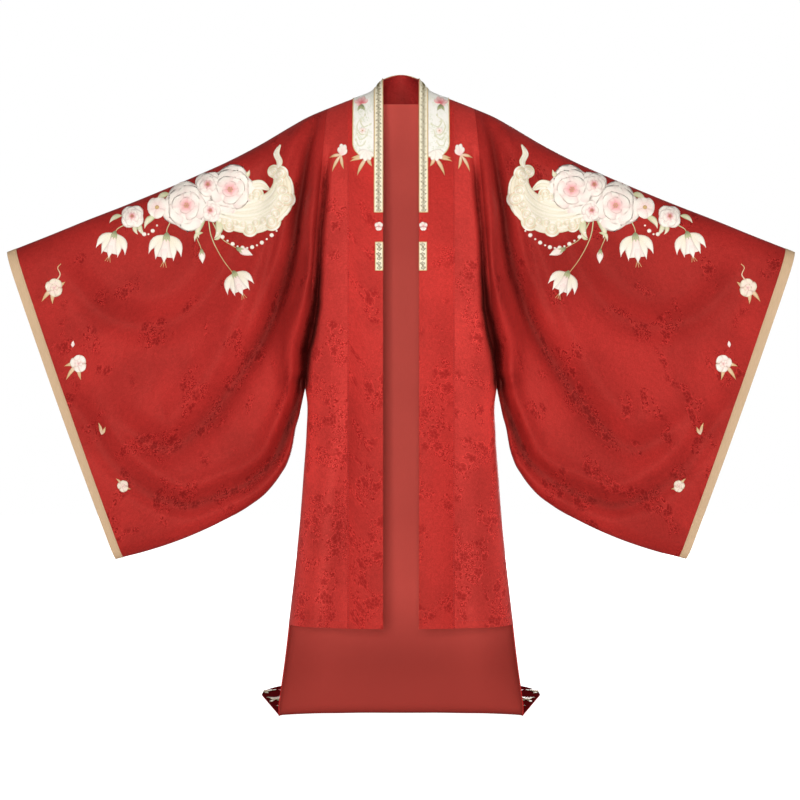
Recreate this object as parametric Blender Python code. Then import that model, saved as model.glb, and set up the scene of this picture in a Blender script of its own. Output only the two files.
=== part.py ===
"""A wide-sleeved hanfu robe, worn open, held up by its shoulders with both arms out.

Metres, +Z up. The front faces -Y and +X is the wearer's left. The origin lies between
the shoulders, at the level where the neck meets them. Every panel is a wall of cloth
whose outer points come from one rule for the front of the robe and one for the back.
The left half is worked out at +X, and the right half is its mirror image, apart from
the soft folds that the two fronts have of their own. A wide collar band runs from one
front hem up round the back of the neck and down to the other.
"""

import bmesh
import bpy
import numpy as np

# --- Driving dimensions -------------------------------------------------------------

CLOTH = 0.0018  # wall of the figured silk
LINING = 0.0010  # wall of the back's plain lining
SEAM_GAP = 0.0003  # clearance between pieces that are sewn together
LAID_GAP = 0.0007  # clearance under a piece that lies on a panel
LAID = 0.0010  # thickness of such a piece

OPENING_HALF = 0.0427  # each front edge stands this far from the middle
BAND_SEAM = 0.1280  # the wide collar band reaches out to here
TRIM_EDGE = 0.0647  # the narrow scrolled trim reaches out to here
OVERLAY_EDGE = 0.1155  # and the cream overlay to here
NECK_SEAM = (0.0880, 0.0000)  # the band's seam at the nape: distance back, height
NECK_TOP = (0.0700, 0.0700)  # the band's free edge at the nape
TRIM_FOOT = -0.2860
OVERLAY_FOOT = -0.1530
OVERLAY_CORNER = 0.0360
TAB = (0.0607, -0.3580, -0.4250)  # outer edge, upper end and lower end of a trim tab
BLOSSOM = (0.0530, -0.3200, 0.0105)  # middle and radius of a small blossom
CUFF_SHARE = 0.0285  # the gold cuff band, as a share of the sleeve's length
CUFF_BOW = 0.0050  # how far the cuff's edge bows out between its corners

SHOULDER_POINT = 0.1780  # the armhole seam starts this far out, on the shoulder
UNDERARM = (0.2340, -0.7050)  # and ends here: distance out, height
FRONT_HEM = -1.2780
FLOOR = -1.5250  # the level that the back reaches and trails along
TRAIN_BEND = 0.0300  # radius of the turn from the hanging back to its train

# The top outline: neck, shoulder and the upper edge of the sleeve.
TOP_LINE = {
    "out": (0, 0.020, 0.0427, 0.0586, 0.0708, 0.088, 0.1147, 0.170, 0.2306, 0.266,
            0.344, 0.415, 0.494, 0.581, 0.672, 0.765, 0.856, 0.960),
    "height": (0.075, 0.067, 0.050, 0.032, 0.0195, 0.011, 0.0015, -0.020, -0.046,
               -0.066, -0.112, -0.149, -0.185, -0.222, -0.259, -0.295, -0.332, -0.373),
}

# The lower edge of the sleeve, from the underarm to the cuff's lowest corner.
SLEEVE_FOOT = {
    "out": (0.234, 0.240, 0.2477, 0.2575, 0.2635, 0.2745, 0.295, 0.3245, 0.371, 0.437,
            0.515, 0.6185, 0.696),
    "height": (-0.705, -0.734, -0.771, -0.808, -0.844, -0.881, -0.918, -0.956, -0.993,
               -1.030, -1.066, -1.102, -1.122),
}

# The body's sections. reach is where the oval section would end: past the armhole seam
# above the underarm, and at the side seam below it.
BODY = {
    "height": (0.08, 0.00, -0.10, -0.25, -0.45, -0.60, -0.705, -0.734, -0.808, -0.917,
               -1.027, -1.137, -1.247, -1.357, -1.500),
    "reach": (0.300, 0.310, 0.315, 0.305, 0.280, 0.250, 0.234, 0.2295, 0.2306, 0.238,
              0.2465, 0.2575, 0.270, 0.284, 0.306),
    "front_depth": (0.080, 0.090, 0.108, 0.122, 0.124, 0.124, 0.124, 0.124, 0.125,
                    0.127, 0.129, 0.132, 0.136, 0.140, 0.140),
    "back_depth": (0.080, 0.090, 0.105, 0.114, 0.118, 0.122, 0.126, 0.127, 0.130,
                   0.134, 0.139, 0.145, 0.152, 0.150, 0.150),
    "side_back": (0, 0, 0, 0, 0, 0, 0, 0, 0, 0, 0, 0, 0, 0.040, 0.100),
}
SECTION_POWER = 2.4  # 2 is an ellipse; more is squarer

# Half the sleeve's thickness where it hangs from the arm, by share of its length, and
# how that changes from its top to its foot.
ARM = {"share": (0, 0.25, 0.60, 1.0), "depth": (0.066, 0.054, 0.044, 0.036)}
HANG = {"share": (0, 0.10, 0.30, 0.60, 0.90, 1.0), "depth": (1, 1, 0.80, 0.66, 0.55, 0.5)}
SLEEVE_BLEND = 0.24  # the chest's fullness has gone by this share of the sleeve
SHOULDER_FALL = 0.100  # how slowly the body's fullness comes below the shoulder
ARM_ROUND = 0.080  # share of the sleeve's drop that rounds over the arm
FOOT_ROUND = 0.045  # share that rounds in at the sleeve's foot
LEAST_DEPTH = 0.012  # half the room left between the sleeve's two layers

# Folds. Each is a soft trough along a path; the cloth beside it, on the path's left
# as it runs down and out, stands a little proud.
FRONT_FOLDS = {
    "armhole": {
        "out": (0.178, 0.185, 0.198, 0.207, 0.216, 0.225, 0.234),
        "height": (-0.030, -0.150, -0.251, -0.376, -0.490, -0.590, -0.690),
        "depth": (0.000, 0.022, 0.034, 0.044, 0.046, 0.040, 0.012),
        "width": (0.014, 0.016, 0.018, 0.020, 0.020, 0.018, 0.014),
    },
    "shoulder_swag": {
        "out": (0.205, 0.237, 0.268, 0.293, 0.325, 0.400, 0.478, 0.556, 0.649, 0.740),
        "height": (-0.060, -0.198, -0.327, -0.420, -0.520, -0.680, -0.812, -0.862,
                   -0.817, -0.745),
        "depth": (0.004, 0.030, 0.032, 0.028, 0.020, 0.014, 0.014, 0.013, 0.011, 0.002),
        "width": (0.016, 0.020, 0.024, 0.028, 0.032, 0.034, 0.034, 0.034, 0.032, 0.030),
    },
    "foot_swag": {
        "out": (0.256, 0.264, 0.281, 0.305, 0.356, 0.405, 0.480, 0.542, 0.617, 0.693,
                0.742, 0.800),
        "height": (-0.640, -0.770, -0.830, -0.878, -0.915, -0.954, -0.986, -0.986,
                   -0.954, -0.890, -0.817, -0.735),
        "depth": (0.004, 0.012, 0.015, 0.015, 0.015, 0.015, 0.016, 0.017, 0.017, 0.016,
                  0.014, 0.004),
        "width": (0.020, 0.022, 0.024, 0.026, 0.028, 0.028, 0.028, 0.028, 0.028, 0.028,
                  0.026, 0.024),
    },
    "arm_swag": {
        "out": (0.330, 0.380, 0.430, 0.490, 0.560, 0.640, 0.720, 0.780, 0.830),
        "height": (-0.180, -0.300, -0.415, -0.500, -0.545, -0.552, -0.525, -0.465,
                   -0.405),
        "depth": (0.003, 0.008, 0.011, 0.013, 0.014, 0.014, 0.012, 0.010, 0.003),
        "width": (0.028, 0.030, 0.034, 0.036, 0.036, 0.036, 0.034, 0.032, 0.030),
    },
}
BACK_FOLDS = {
    "armhole": {
        "out": (0.178, 0.187, 0.200, 0.214, 0.234),
        "height": (-0.030, -0.160, -0.300, -0.470, -0.690),
        "depth": (0.000, 0.020, 0.032, 0.034, 0.010),
        "width": (0.014, 0.018, 0.020, 0.020, 0.014),
    },
    "shoulder_swag": {
        "out": (0.215, 0.250, 0.290, 0.345, 0.430, 0.520, 0.620, 0.710),
        "height": (-0.070, -0.220, -0.380, -0.560, -0.740, -0.830, -0.800, -0.700),
        "depth": (0.004, 0.024, 0.026, 0.020, 0.014, 0.014, 0.012, 0.002),
        "width": (0.018, 0.022, 0.028, 0.032, 0.034, 0.034, 0.032, 0.030),
    },
    "foot_swag": {
        "out": (0.270, 0.300, 0.370, 0.450, 0.540, 0.630, 0.710, 0.780),
        "height": (-0.740, -0.850, -0.920, -0.965, -0.975, -0.930, -0.850, -0.760),
        "depth": (0.006, 0.014, 0.015, 0.015, 0.016, 0.016, 0.012, 0.003),
        "width": (0.024, 0.026, 0.028, 0.028, 0.028, 0.028, 0.028, 0.026),
    },
    "arm_swag": {
        "out": (0.350, 0.420, 0.500, 0.590, 0.690, 0.780),
        "height": (-0.220, -0.400, -0.510, -0.540, -0.500, -0.420),
        "depth": (0.003, 0.010, 0.013, 0.013, 0.011, 0.003),
        "width": (0.030, 0.034, 0.036, 0.036, 0.034, 0.030),
    },
    "inner_flute": {
        "out": (0.075, 0.085, 0.095),
        "height": (-0.450, -0.950, -1.480),
        "depth": (0.000, -0.006, -0.010),
        "width": (0.036, 0.040, 0.044),
    },
    "outer_flute": {
        "out": (0.165, 0.185, 0.205),
        "height": (-0.700, -1.050, -1.480),
        "depth": (0.000, -0.006, -0.010),
        "width": (0.034, 0.038, 0.042),
    },
}
RIGHT_FRONT_FOLDS = {
    "hanging_fold": {
        "out": (0.128, 0.132, 0.156, 0.168, 0.182),
        "height": (-0.560, -0.800, -0.954, -1.127, -1.285),
        "depth": (0.000, 0.007, 0.012, 0.013, 0.013),
        "width": (0.022, 0.022, 0.022, 0.024, 0.026),
    },
}
LEFT_FRONT_FOLDS = {
    "hanging_fold": {
        "out": (0.130, 0.136, 0.150),
        "height": (-0.700, -0.980, -1.285),
        "depth": (0.000, 0.005, 0.007),
        "width": (0.026, 0.028, 0.030),
    },
}
PROUD = 0.45  # the swell beside a trough, as a share of the trough's depth

# The train's outline on the floor, from the tip at its side to the middle of its end.
TRAIN_TIP = (0.372, 0.480)  # distance out, distance back
TRAIN_END = 0.780
TRAIN_RIPPLE = 0.007

# --- How finely the panels are divided ----------------------------------------------

BODY_SHARES = (0, 0.004, 0.020, 0.050, 0.080, 0.115, 0.160, 0.2125, 0.28, 0.35, 0.424,
               0.522, 0.613, 0.70, 0.79, 0.87, 0.94, 1.0)
SKIRT_SHARES = (0.14, 0.28, 0.42, 0.56, 0.70, 0.85, 1.0)
SIDE_SHARES = (0, 0.25, 0.50, 0.70, 0.85, 0.95, 1.0)
SLEEVE_SHARES = (0, 0.004, 0.020, 0.050, 0.080, 0.115, 0.160, 0.2125, 0.246, 0.28, 0.35,
                 0.424, 0.473, 0.522, 0.568, 0.613, 0.656, 0.70, 0.745, 0.79, 0.83, 0.87,
                 0.905, 0.94, 0.968, 0.988, 1.0)
SLEEVE_STATIONS = (0, 0.025, 0.055, 0.09, 0.13, 0.18, 0.25, 0.33, 0.42, 0.52, 0.62, 0.72,
                   0.82, 0.91)
BAND_COLUMNS = (OPENING_HALF, TRIM_EDGE, 0.0900, OVERLAY_EDGE, BAND_SEAM)
NECK_TURNS = 5  # rows of the band from the shoulder to the nape
BEND_STEPS = 4
TRAIN_STEPS = 6

COLOURS = {  # base colour, roughness
    "silk": ((0.56, 0.030, 0.028, 1), 0.45),
    "lining": ((0.42, 0.055, 0.040, 1), 0.80),
    "gold": ((0.62, 0.42, 0.20, 1), 0.50),
    "cream": ((0.85, 0.78, 0.62, 1), 0.60),
}


# --- The robe's form ----------------------------------------------------------------

def ease(share):
    """A smooth step from 0 to 1."""
    share = np.clip(share, 0, 1)
    return share * share * (3 - 2 * share)


def round_in(share, radius):
    """A quarter round: 0 at share 0, and 1 from radius on."""
    left = np.clip(1 - np.asarray(share, float) / radius, 0, 1)
    return np.sqrt(1 - left**2)


def smooth_curve(across, values, at):
    """A Catmull-Rom curve through the table's points, read at the given places."""
    across, values = np.asarray(across, float), np.asarray(values, float)
    slope = np.gradient(values, across)
    i = np.clip(np.searchsorted(across, at, side="right") - 1, 0, len(across) - 2)
    step = across[i + 1] - across[i]
    t = (np.clip(at, across[0], across[-1]) - across[i]) / step
    return (
        (2 * t**3 - 3 * t**2 + 1) * values[i]
        + (t**3 - 2 * t**2 + t) * step * slope[i]
        + (3 * t**2 - 2 * t**3) * values[i + 1]
        + (t**3 - t**2) * step * slope[i + 1]
    )


def top_height(out):
    return smooth_curve(TOP_LINE["out"], TOP_LINE["height"], out)


def outline(table, first_out, shares):
    """Points (out, height) along an outline, at shares of its length past first_out."""
    out = np.linspace(first_out, table["out"][-1], 400)
    height = smooth_curve(table["out"], table["height"], out)
    length = np.concatenate([[0], np.cumsum(np.hypot(np.diff(out), np.diff(height)))])
    at = np.asarray(shares) * length[-1]
    return np.interp(at, length, out), np.interp(at, length, height)


def body_table(name, height):
    return smooth_curve(-np.array(BODY["height"]), BODY[name], -np.asarray(height, float))


def body_depth(out, height, side):
    """How far the body stands from the side seams' plane, before folds."""
    full = 1 - np.clip(out / body_table("reach", height), 0, 1) ** SECTION_POWER
    return body_table(side, height) * full ** (1 / SECTION_POWER)


def body_fullness(drop, power=0.5):
    """How much of the body's depth has come at this drop below the shoulder."""
    whole = 1 + SHOULDER_FALL / -UNDERARM[1]
    return np.clip(drop / (drop + SHOULDER_FALL) * whole, 0, 1) ** power


def fold_depth(folds, out, height):
    """How deep the folds press the cloth in at each point."""
    pressed = np.zeros(np.shape(out))
    for fold in folds.values():
        spread = np.linspace(0, len(fold["out"]) - 1, 8 * len(fold["out"]))
        rows = np.arange(len(fold["out"]))
        path = {name: smooth_curve(rows, fold[name], spread) for name in fold}
        away_out = np.asarray(out)[..., None] - path["out"]
        away_up = np.asarray(height)[..., None] - path["height"]
        nearest = np.argmin(away_out**2 + away_up**2, axis=-1)[..., None]
        run_out = np.gradient(path["out"])[nearest]
        run_up = np.gradient(path["height"])[nearest]
        run = np.hypot(run_out, run_up)
        away_out = np.take_along_axis(away_out, nearest, -1)
        away_up = np.take_along_axis(away_up, nearest, -1)
        beside = (run_out * away_up - run_up * away_out) / run
        past = (run_out * away_out + run_up * away_up) / run
        width, depth = path["width"][nearest], path["depth"][nearest]
        fade = np.exp(-((past / width) ** 2))
        trough = np.exp(-((beside / width) ** 2))
        swell = np.exp(-(((beside - 1.8 * width) / (1.2 * width)) ** 2))
        pressed += (depth * fade * (trough - PROUD * swell))[..., 0]
    return pressed


def armhole(share):
    """The armhole seam: a straight line from the shoulder to the underarm."""
    start = np.array([SHOULDER_POINT, top_height(SHOULDER_POINT)])
    at = start + np.asarray(share, float)[..., None] * (np.array(UNDERARM) - start)
    return at[..., 0], at[..., 1]


def arm_depth(station, share):
    """Half the thickness of the sleeve where it hangs from the arm."""
    return np.interp(station, ARM["share"], ARM["depth"]) * smooth_curve(
        HANG["share"], HANG["depth"], share
    )


def sleeve_depth(station, share, out, height, side, folds):
    """Half the sleeve's thickness towards the front or the back."""
    seam_out, seam_height = armhole(share)
    chest = body_depth(seam_out, seam_height, side)
    over_body = body_fullness(share * (armhole(0)[1] - UNDERARM[1]))
    past_seam = ease(station / SLEEVE_BLEND)
    depth = chest * (1 - past_seam) + arm_depth(station, share) * past_seam
    depth = depth - fold_depth(folds, out, height)
    least = LEAST_DEPTH * ease(station / 0.06)
    depth = least + np.logaddexp(0, (depth - least) / 0.003) * 0.003
    at_seam = np.maximum(chest - fold_depth(folds, seam_out, seam_height), 0)
    depth = np.where(station == 0, at_seam, depth)
    foot = 1 + (round_in(1 - share, FOOT_ROUND) - 1) * ease(station / 0.10)
    over_arm = round_in(share, ARM_ROUND)
    return depth * foot * (over_body + (over_arm - over_body) * past_seam)


# --- The panels' points -------------------------------------------------------------

def body_points(side, folds, columns, hem):
    """Outer points of half a front, back or band, row by row from the shoulder down.

    columns(seam_out) gives the distances out of one row's points.
    """
    top_out = columns(SHOULDER_POINT)
    start_back, start_height = np.zeros_like(top_out), top_height(top_out)
    if side == "back_depth":
        inside = np.clip(1 - (top_out / BAND_SEAM) ** 2, 0, 1)
        start_back = NECK_SEAM[0] * np.sqrt(inside)
        seam_height = NECK_SEAM[1] + (1 - inside) * top_height(BAND_SEAM) - SEAM_GAP
        start_height = np.where(inside > 0, seam_height, start_height)
    rows = []
    for share, skirt in [(s, 0.0) for s in BODY_SHARES] + [(1.0, s) for s in SKIRT_SHARES]:
        seam_out = armhole(share)[0]
        if skirt:
            seam_out = body_table("reach", UNDERARM[1] + skirt * (hem - UNDERARM[1]))
        out = columns(seam_out)
        height = start_height + share * (UNDERARM[1] - start_height)
        height = height + skirt * (hem - UNDERARM[1])
        at_seam = out > seam_out - SEAM_GAP
        at = np.where(at_seam, seam_out, out)
        within = ease((seam_out - out) / 0.03) if skirt else 1.0
        depth = body_depth(at, height, side) * (1 - at_seam * (share == 1))
        depth = np.maximum(depth - fold_depth(folds, at, height) * within, 0)
        drop = share * (start_height - UNDERARM[1])
        power = 0.5 + 0.5 * (start_back / NECK_SEAM[0]) ** 2
        fullness = body_fullness(drop, power)
        if side == "front_depth":
            back = -depth * fullness
        else:
            swept = body_table("side_back", height)
            depth = swept + depth * (1 - swept / 0.150)
            back = start_back + (depth - start_back) * fullness
        rows.append(np.stack([out, back, height], axis=-1))
    return np.array(rows)


def across(first, seam_out):
    """A row's distances out, from first to just short of its seam."""
    return first + np.array(SIDE_SHARES) * (seam_out - SEAM_GAP / 2 - first)


def front_points(folds):
    def columns(seam_out):
        return across(BAND_SEAM + SEAM_GAP / 2, seam_out)

    return body_points("front_depth", folds, columns, FRONT_HEM) - [0, SEAM_GAP / 2, 0]


def band_points(folds):
    """Half the collar band, from the front hem up over the shoulder to the nape."""
    out = np.array(BAND_COLUMNS) - [0, 0, 0, 0, SEAM_GAP]
    front = body_points("front_depth", folds, lambda seam_out: out, FRONT_HEM)
    over = (out - OPENING_HALF) / (BAND_SEAM - OPENING_HALF)
    back = NECK_TOP[0] + over * (NECK_SEAM[0] - NECK_TOP[0])
    height = NECK_TOP[1] + over * (NECK_SEAM[1] - NECK_TOP[1])
    turned = []
    for turn in np.linspace(0, np.pi / 2, NECK_TURNS + 1)[1:]:
        up = top_height(out) * np.cos(turn) ** 2 + height * np.sin(turn) ** 2
        turned.append(np.stack([out * np.cos(turn), back * np.sin(turn), up], axis=-1))
    return np.concatenate([front[::-1], turned])


def back_points():
    """Half the back: down to the floor, round the bend, and out along the train."""
    neck = BAND_SEAM * np.sin(np.linspace(0, np.pi / 2, NECK_TURNS + 1)[:-1])

    def columns(seam_out):
        return np.concatenate([neck, across(BAND_SEAM + SEAM_GAP, seam_out)])

    hanging = body_points("back_depth", BACK_FOLDS, columns, FLOOR + TRAIN_BEND)
    hanging = hanging + [0, SEAM_GAP / 2, 0]
    foot = hanging[-1]
    sole = CLOTH + SEAM_GAP + LINING  # what lies between the floor and the outer points
    rows = [hanging[:-1]]
    for turn in np.linspace(0, np.pi / 2, BEND_STEPS + 1):
        bend = foot.copy()
        bend[:, 1] += TRAIN_BEND * (1 - np.cos(turn))
        bend[:, 2] = FLOOR + sole + (TRAIN_BEND - sole) * (1 - np.sin(turn))
        rows.append(bend[None])
    start = rows[-1][0]
    share = start[:, 0] / start[-1, 0]
    end_out = TRAIN_TIP[0] * np.sin(share * np.pi / 2)
    end_back = TRAIN_TIP[1] + (TRAIN_END - TRAIN_TIP[1]) * np.cos(share * np.pi / 2) ** 0.8
    for step in range(1, TRAIN_STEPS + 1):
        way = step / TRAIN_STEPS
        row = start.copy()
        row[:, 0] = start[:, 0] + way * (end_out - start[:, 0])
        row[:, 1] = start[:, 1] + way * (end_back - start[:, 1])
        ripple = np.sin(3.2 * np.pi * share + 1.2) * np.sin(np.pi * way) ** 2
        row[:, 2] += TRAIN_RIPPLE * (1 + ripple) * np.sin(np.pi * way) * (1 - share**6)
        rows.append(row[None])
    return np.concatenate(rows)


def sleeve_points(stations):
    """Outer points of a sleeve: rings from the armhole out, each down the front and up
    the back."""
    top = outline(TOP_LINE, SHOULDER_POINT, stations)
    foot = outline(SLEEVE_FOOT, UNDERARM[0], stations)
    station, share = np.meshgrid(np.array(stations), np.array(SLEEVE_SHARES))
    out = np.array(top[0]) + share * (np.array(foot[0]) - np.array(top[0]))
    height = np.array(top[1]) + share * (np.array(foot[1]) - np.array(top[1]))
    out = out + CUFF_BOW * np.sin(np.pi * share) * station**2
    front = sleeve_depth(station, share, out, height, "front_depth", FRONT_FOLDS)
    back = sleeve_depth(station, share, out, height, "back_depth", BACK_FOLDS)
    front_half = np.stack([out, -front, height], axis=-1)
    back_half = np.stack([out, back, height], axis=-1)
    return np.concatenate([front_half, back_half[-2:0:-1]])


def unit(vectors):
    return vectors / np.maximum(np.linalg.norm(vectors, axis=-1, keepdims=True), 1e-9)


def slopes(points, axis, ring):
    """How the points change along one axis of their grid."""
    if ring:
        return np.roll(points, -1, axis) - np.roll(points, 1, axis)
    return np.gradient(points, axis=axis)


def outward(points, turned=False, ring=False, cuts=()):
    """Unit normals of a grid of points, away from the wearer.

    Each cut is (rows, columns, direction): the wall's edge there is cut square to that
    direction, so that it meets its neighbour's edge face to face.
    """
    normal = np.cross(slopes(points, 0, ring), slopes(points, 1, False))
    normal = unit(-normal if turned else normal)
    for rows, columns, direction in cuts:
        direction = np.array(direction) / np.linalg.norm(direction)
        there = normal[rows, columns]
        normal[rows, columns] = unit(there - (there @ direction)[..., None] * direction)
    return normal


ALL = slice(None)
ALONG_ARMHOLE = slice(0, len(BODY_SHARES) - 1)
BELOW_ARMHOLE = slice(len(BODY_SHARES) - 1, None)


def ring_across(station):
    """The direction square to the line in which a ring of the sleeve lies."""
    top, foot = outline(TOP_LINE, SHOULDER_POINT, station), outline(
        SLEEVE_FOOT, UNDERARM[0], station)
    return np.array([top[1] - foot[1], 0, foot[0] - top[0]])


def seam_cuts(column, mirrored=False):
    """Where a panel's edge is cut square: along its armhole, and down its side."""
    across_seam = ring_across(0) * ([-1, 1, 1] if mirrored else 1)
    return ((ALONG_ARMHOLE, column, across_seam), (BELOW_ARMHOLE, column, (0, 1, 0)))


def both_halves(half):
    """A half at +X joined to its mirror image along the middle."""
    return np.concatenate([half[:, :0:-1] * [-1, 1, 1], half], axis=1)


def at_cells(grid, row, column):
    """What a grid holds between its own points, by row and column with fractions."""
    row, column = np.broadcast_arrays(np.asarray(row, float), np.asarray(column, float))
    i = np.clip(row.astype(int), 0, grid.shape[0] - 2)
    j = np.clip(column.astype(int), 0, grid.shape[1] - 2)
    down, over = (row - i)[..., None], (column - j)[..., None]
    first, across, below = grid[i, j], grid[i, j + 1], grid[i + 1, j]
    opposite = grid[i + 1, j + 1]
    one_side = first + over * (across - first) + down * (opposite - across)
    other_side = first + down * (below - first) + over * (opposite - below)
    return np.where(over > down, one_side, other_side)


SHOULDER_ROW = len(BODY_SHARES) + len(SKIRT_SHARES) - 1  # of the band's half
NAPE_ROW = SHOULDER_ROW + NECK_TURNS


def band_cell(out, height):
    """The band's row and column, with fractions, at a place on its front."""
    start = top_height(np.asarray(out, float))
    share = (start - height) / (start - UNDERARM[1])
    row = SHOULDER_ROW - np.interp(share, BODY_SHARES, np.arange(len(BODY_SHARES)))
    return row, np.interp(out, BAND_COLUMNS, np.arange(len(BAND_COLUMNS)))


# --- From points to solids ----------------------------------------------------------

def material(name):
    made = bpy.data.materials.get(name) or bpy.data.materials.new(name)
    made.use_nodes = True
    shader = made.node_tree.nodes["Principled BSDF"]
    shader.inputs["Base Color"].default_value = COLOURS[name][0]
    shader.inputs["Roughness"].default_value = COLOURS[name][1]
    return made


def solid(name, points, faces, finish):
    mesh = bpy.data.meshes.new(name)
    mesh.from_pydata(points.tolist(), [], faces)
    shell = bmesh.new()
    shell.from_mesh(mesh)
    bmesh.ops.recalc_face_normals(shell, faces=shell.faces)
    shell.to_mesh(mesh)
    shell.free()
    mesh.materials.append(material(finish))
    mesh.shade_smooth()
    made = bpy.data.objects.new(name, mesh)
    bpy.context.scene.collection.objects.link(made)


def wall(name, outer, inner, finish, ring=False, mirrored=False):
    """One closed wall between two grids of points."""
    rows, columns = outer.shape[:2]
    points = np.concatenate([outer.reshape(-1, 3), inner.reshape(-1, 3)])
    if mirrored:
        points = points * [-1, 1, 1]
    inside = rows * columns
    faces, edges = [], []
    for i in range(rows if ring else rows - 1):
        below = (i + 1) % rows
        for j in range(columns - 1):
            a, b = i * columns + j, i * columns + j + 1
            c, d = below * columns + j + 1, below * columns + j
            for corner in ((a, b, c), (a, c, d)):
                faces.append(corner)
                faces.append(tuple(inside + k for k in reversed(corner)))
        edges.append((i * columns, below * columns))
        edges.append((below * columns + columns - 1, i * columns + columns - 1))
    if not ring:
        last = (rows - 1) * columns
        for j in range(columns - 1):
            edges.append((j + 1, j))
            edges.append((last + j, last + j + 1))
    for a, b in edges:
        faces.append((a, b, inside + b))
        faces.append((a, inside + b, inside + a))
    solid(name, points, faces, finish)


def laid(name, band, normal, cells):
    """A thin piece that lies on the collar band, over a grid of the band's cells."""
    base, up = at_cells(band, *cells), unit(at_cells(normal, *cells))
    wall(name, base + (LAID_GAP + LAID) * up, base + LAID_GAP * up, "cream")


# --- The pieces ---------------------------------------------------------------------

def add_fronts():
    for mirrored in (False, True):
        own = RIGHT_FRONT_FOLDS if mirrored else LEFT_FRONT_FOLDS
        outer = front_points({**FRONT_FOLDS, **own})
        cuts = ((0, ALL, (0, 1, 0)), (ALL, 0, (1, 0, 0)), *seam_cuts(-1))
        inner = outer - CLOTH * outward(outer, cuts=cuts)
        name = "front_right" if mirrored else "front_left"
        wall(name, outer, inner, "silk", mirrored=mirrored)


def neck_and_back():
    """The band and the back with their normals, which agree along the neck seam."""
    left = band_points({**FRONT_FOLDS, **LEFT_FRONT_FOLDS})
    right = band_points({**FRONT_FOLDS, **RIGHT_FRONT_FOLDS})
    band = np.concatenate([left, right[-2::-1] * [-1, 1, 1]])
    cut_rows = np.r_[0 : SHOULDER_ROW + 1, -SHOULDER_ROW - 1 : 0]
    band_normal = outward(band, turned=True, cuts=((cut_rows, -1, (1, 0, 0)),))
    back = both_halves(back_points())
    middle, reach = back.shape[1] // 2, NECK_TURNS
    corners = [middle - reach, middle + reach]
    shoulders = np.r_[0 : middle - reach + 1, middle + reach : back.shape[1]]
    cuts = ((0, shoulders, (0, 1, 0)), (0, corners, (1, 0, 0)), *seam_cuts(-1),
            *seam_cuts(0, mirrored=True))
    back_normal = outward(back, turned=True, cuts=cuts)
    neck_rows = np.arange(SHOULDER_ROW + 1, 2 * NAPE_ROW - SHOULDER_ROW)
    neck_columns = middle + reach - 1 - np.arange(2 * reach - 1)
    shared = unit(band_normal[neck_rows, -1] + back_normal[0, neck_columns])
    band_normal[neck_rows, -1] = shared
    back_normal[0, neck_columns] = shared
    return band, band_normal, back, back_normal


def add_back(back, normal):
    """Two halves that meet at the centre seam, over a lining of one width."""
    middle = back.shape[1] // 2
    for name, columns, seam, beside in (
        ("back_left", slice(middle, None), 0, SEAM_GAP / 2),
        ("back_right", slice(0, middle + 1), -1, -SEAM_GAP / 2),
    ):
        outer = back[:, columns].copy()
        outer[:, seam, 0] = beside
        wall(name, outer, outer - CLOTH * normal[:, columns], "silk")
    laid_in = back - (CLOTH + SEAM_GAP) * normal
    rows = slice(1, len(BODY_SHARES) + len(SKIRT_SHARES) + BEND_STEPS + 1)
    wall("back_lining", laid_in[rows], (laid_in - LINING * normal)[rows], "lining")


def add_collar(band, normal):
    wall("collar_band", band, band - CLOTH * normal, "silk")
    whole = 2 * NAPE_ROW
    neck = np.arange(SHOULDER_ROW, NAPE_ROW + 1)

    def round_neck(out, heights, neck_out):
        """Cells up one front, round the neck and down the other front."""
        front = band_cell(out, heights)
        column = np.broadcast_to(band_cell(neck_out, 0)[1], (len(neck), len(neck_out)))
        row = np.broadcast_to(neck[:, None].astype(float), column.shape)
        row, column = np.vstack([front[0], row]), np.vstack([front[1], column])
        return np.vstack([row, whole - row[-2::-1]]), np.vstack([column, column[-2::-1]])

    def down_to(foot, out):
        """Rows of the band's own that lie above foot, with foot itself first."""
        start = top_height(out)
        first = (start - foot) / (start - UNDERARM[1])
        rows = [first]
        for share in reversed(BODY_SHARES[1:]):
            if share < first.min() - 0.004:
                rows.append(np.full_like(first, share))
        share = np.array(rows)
        return np.broadcast_to(out, share.shape), start - share * (start - UNDERARM[1])

    edges = np.array([OPENING_HALF, TRIM_EDGE - SEAM_GAP / 2])
    laid("collar_trim", band, normal, round_neck(*down_to(TRIM_FOOT, edges), edges))
    columns = np.array([TRIM_EDGE + SEAM_GAP / 2, BAND_COLUMNS[2], OVERLAY_EDGE])
    out, height = down_to(OVERLAY_FOOT + OVERLAY_CORNER, columns)
    rounds_out, rounds_height = [], []
    for turn in np.radians((10, 30, 50, 70)):
        edge = OVERLAY_EDGE - OVERLAY_CORNER * (1 - np.sin(turn))
        shrunk = (edge - columns[0]) / (OVERLAY_EDGE - columns[0])
        rounds_out.append(columns[0] + (columns - columns[0]) * shrunk)
        rounded = OVERLAY_FOOT + OVERLAY_CORNER * (1 - np.cos(turn))
        rounds_height.append(np.full(len(columns), rounded))
    out = np.vstack([rounds_out, out])
    height = np.vstack([rounds_height, height])
    laid("collar_overlay", band, normal, round_neck(out, height, columns))

    edge, upper, lower = TAB
    heights = [[lower] * 2, [(upper + lower) / 2] * 2, [upper] * 2]
    row, column = band_cell(np.array([[OPENING_HALF, edge]] * 3), np.array(heights))
    laid("trim_tab_left", band, normal, (row, column))
    laid("trim_tab_right", band, normal, (whole - row, column))
    for side, mirrored in (("left", False), ("right", True)):
        add_blossom(f"blossom_{side}", band, normal, mirrored)


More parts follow.
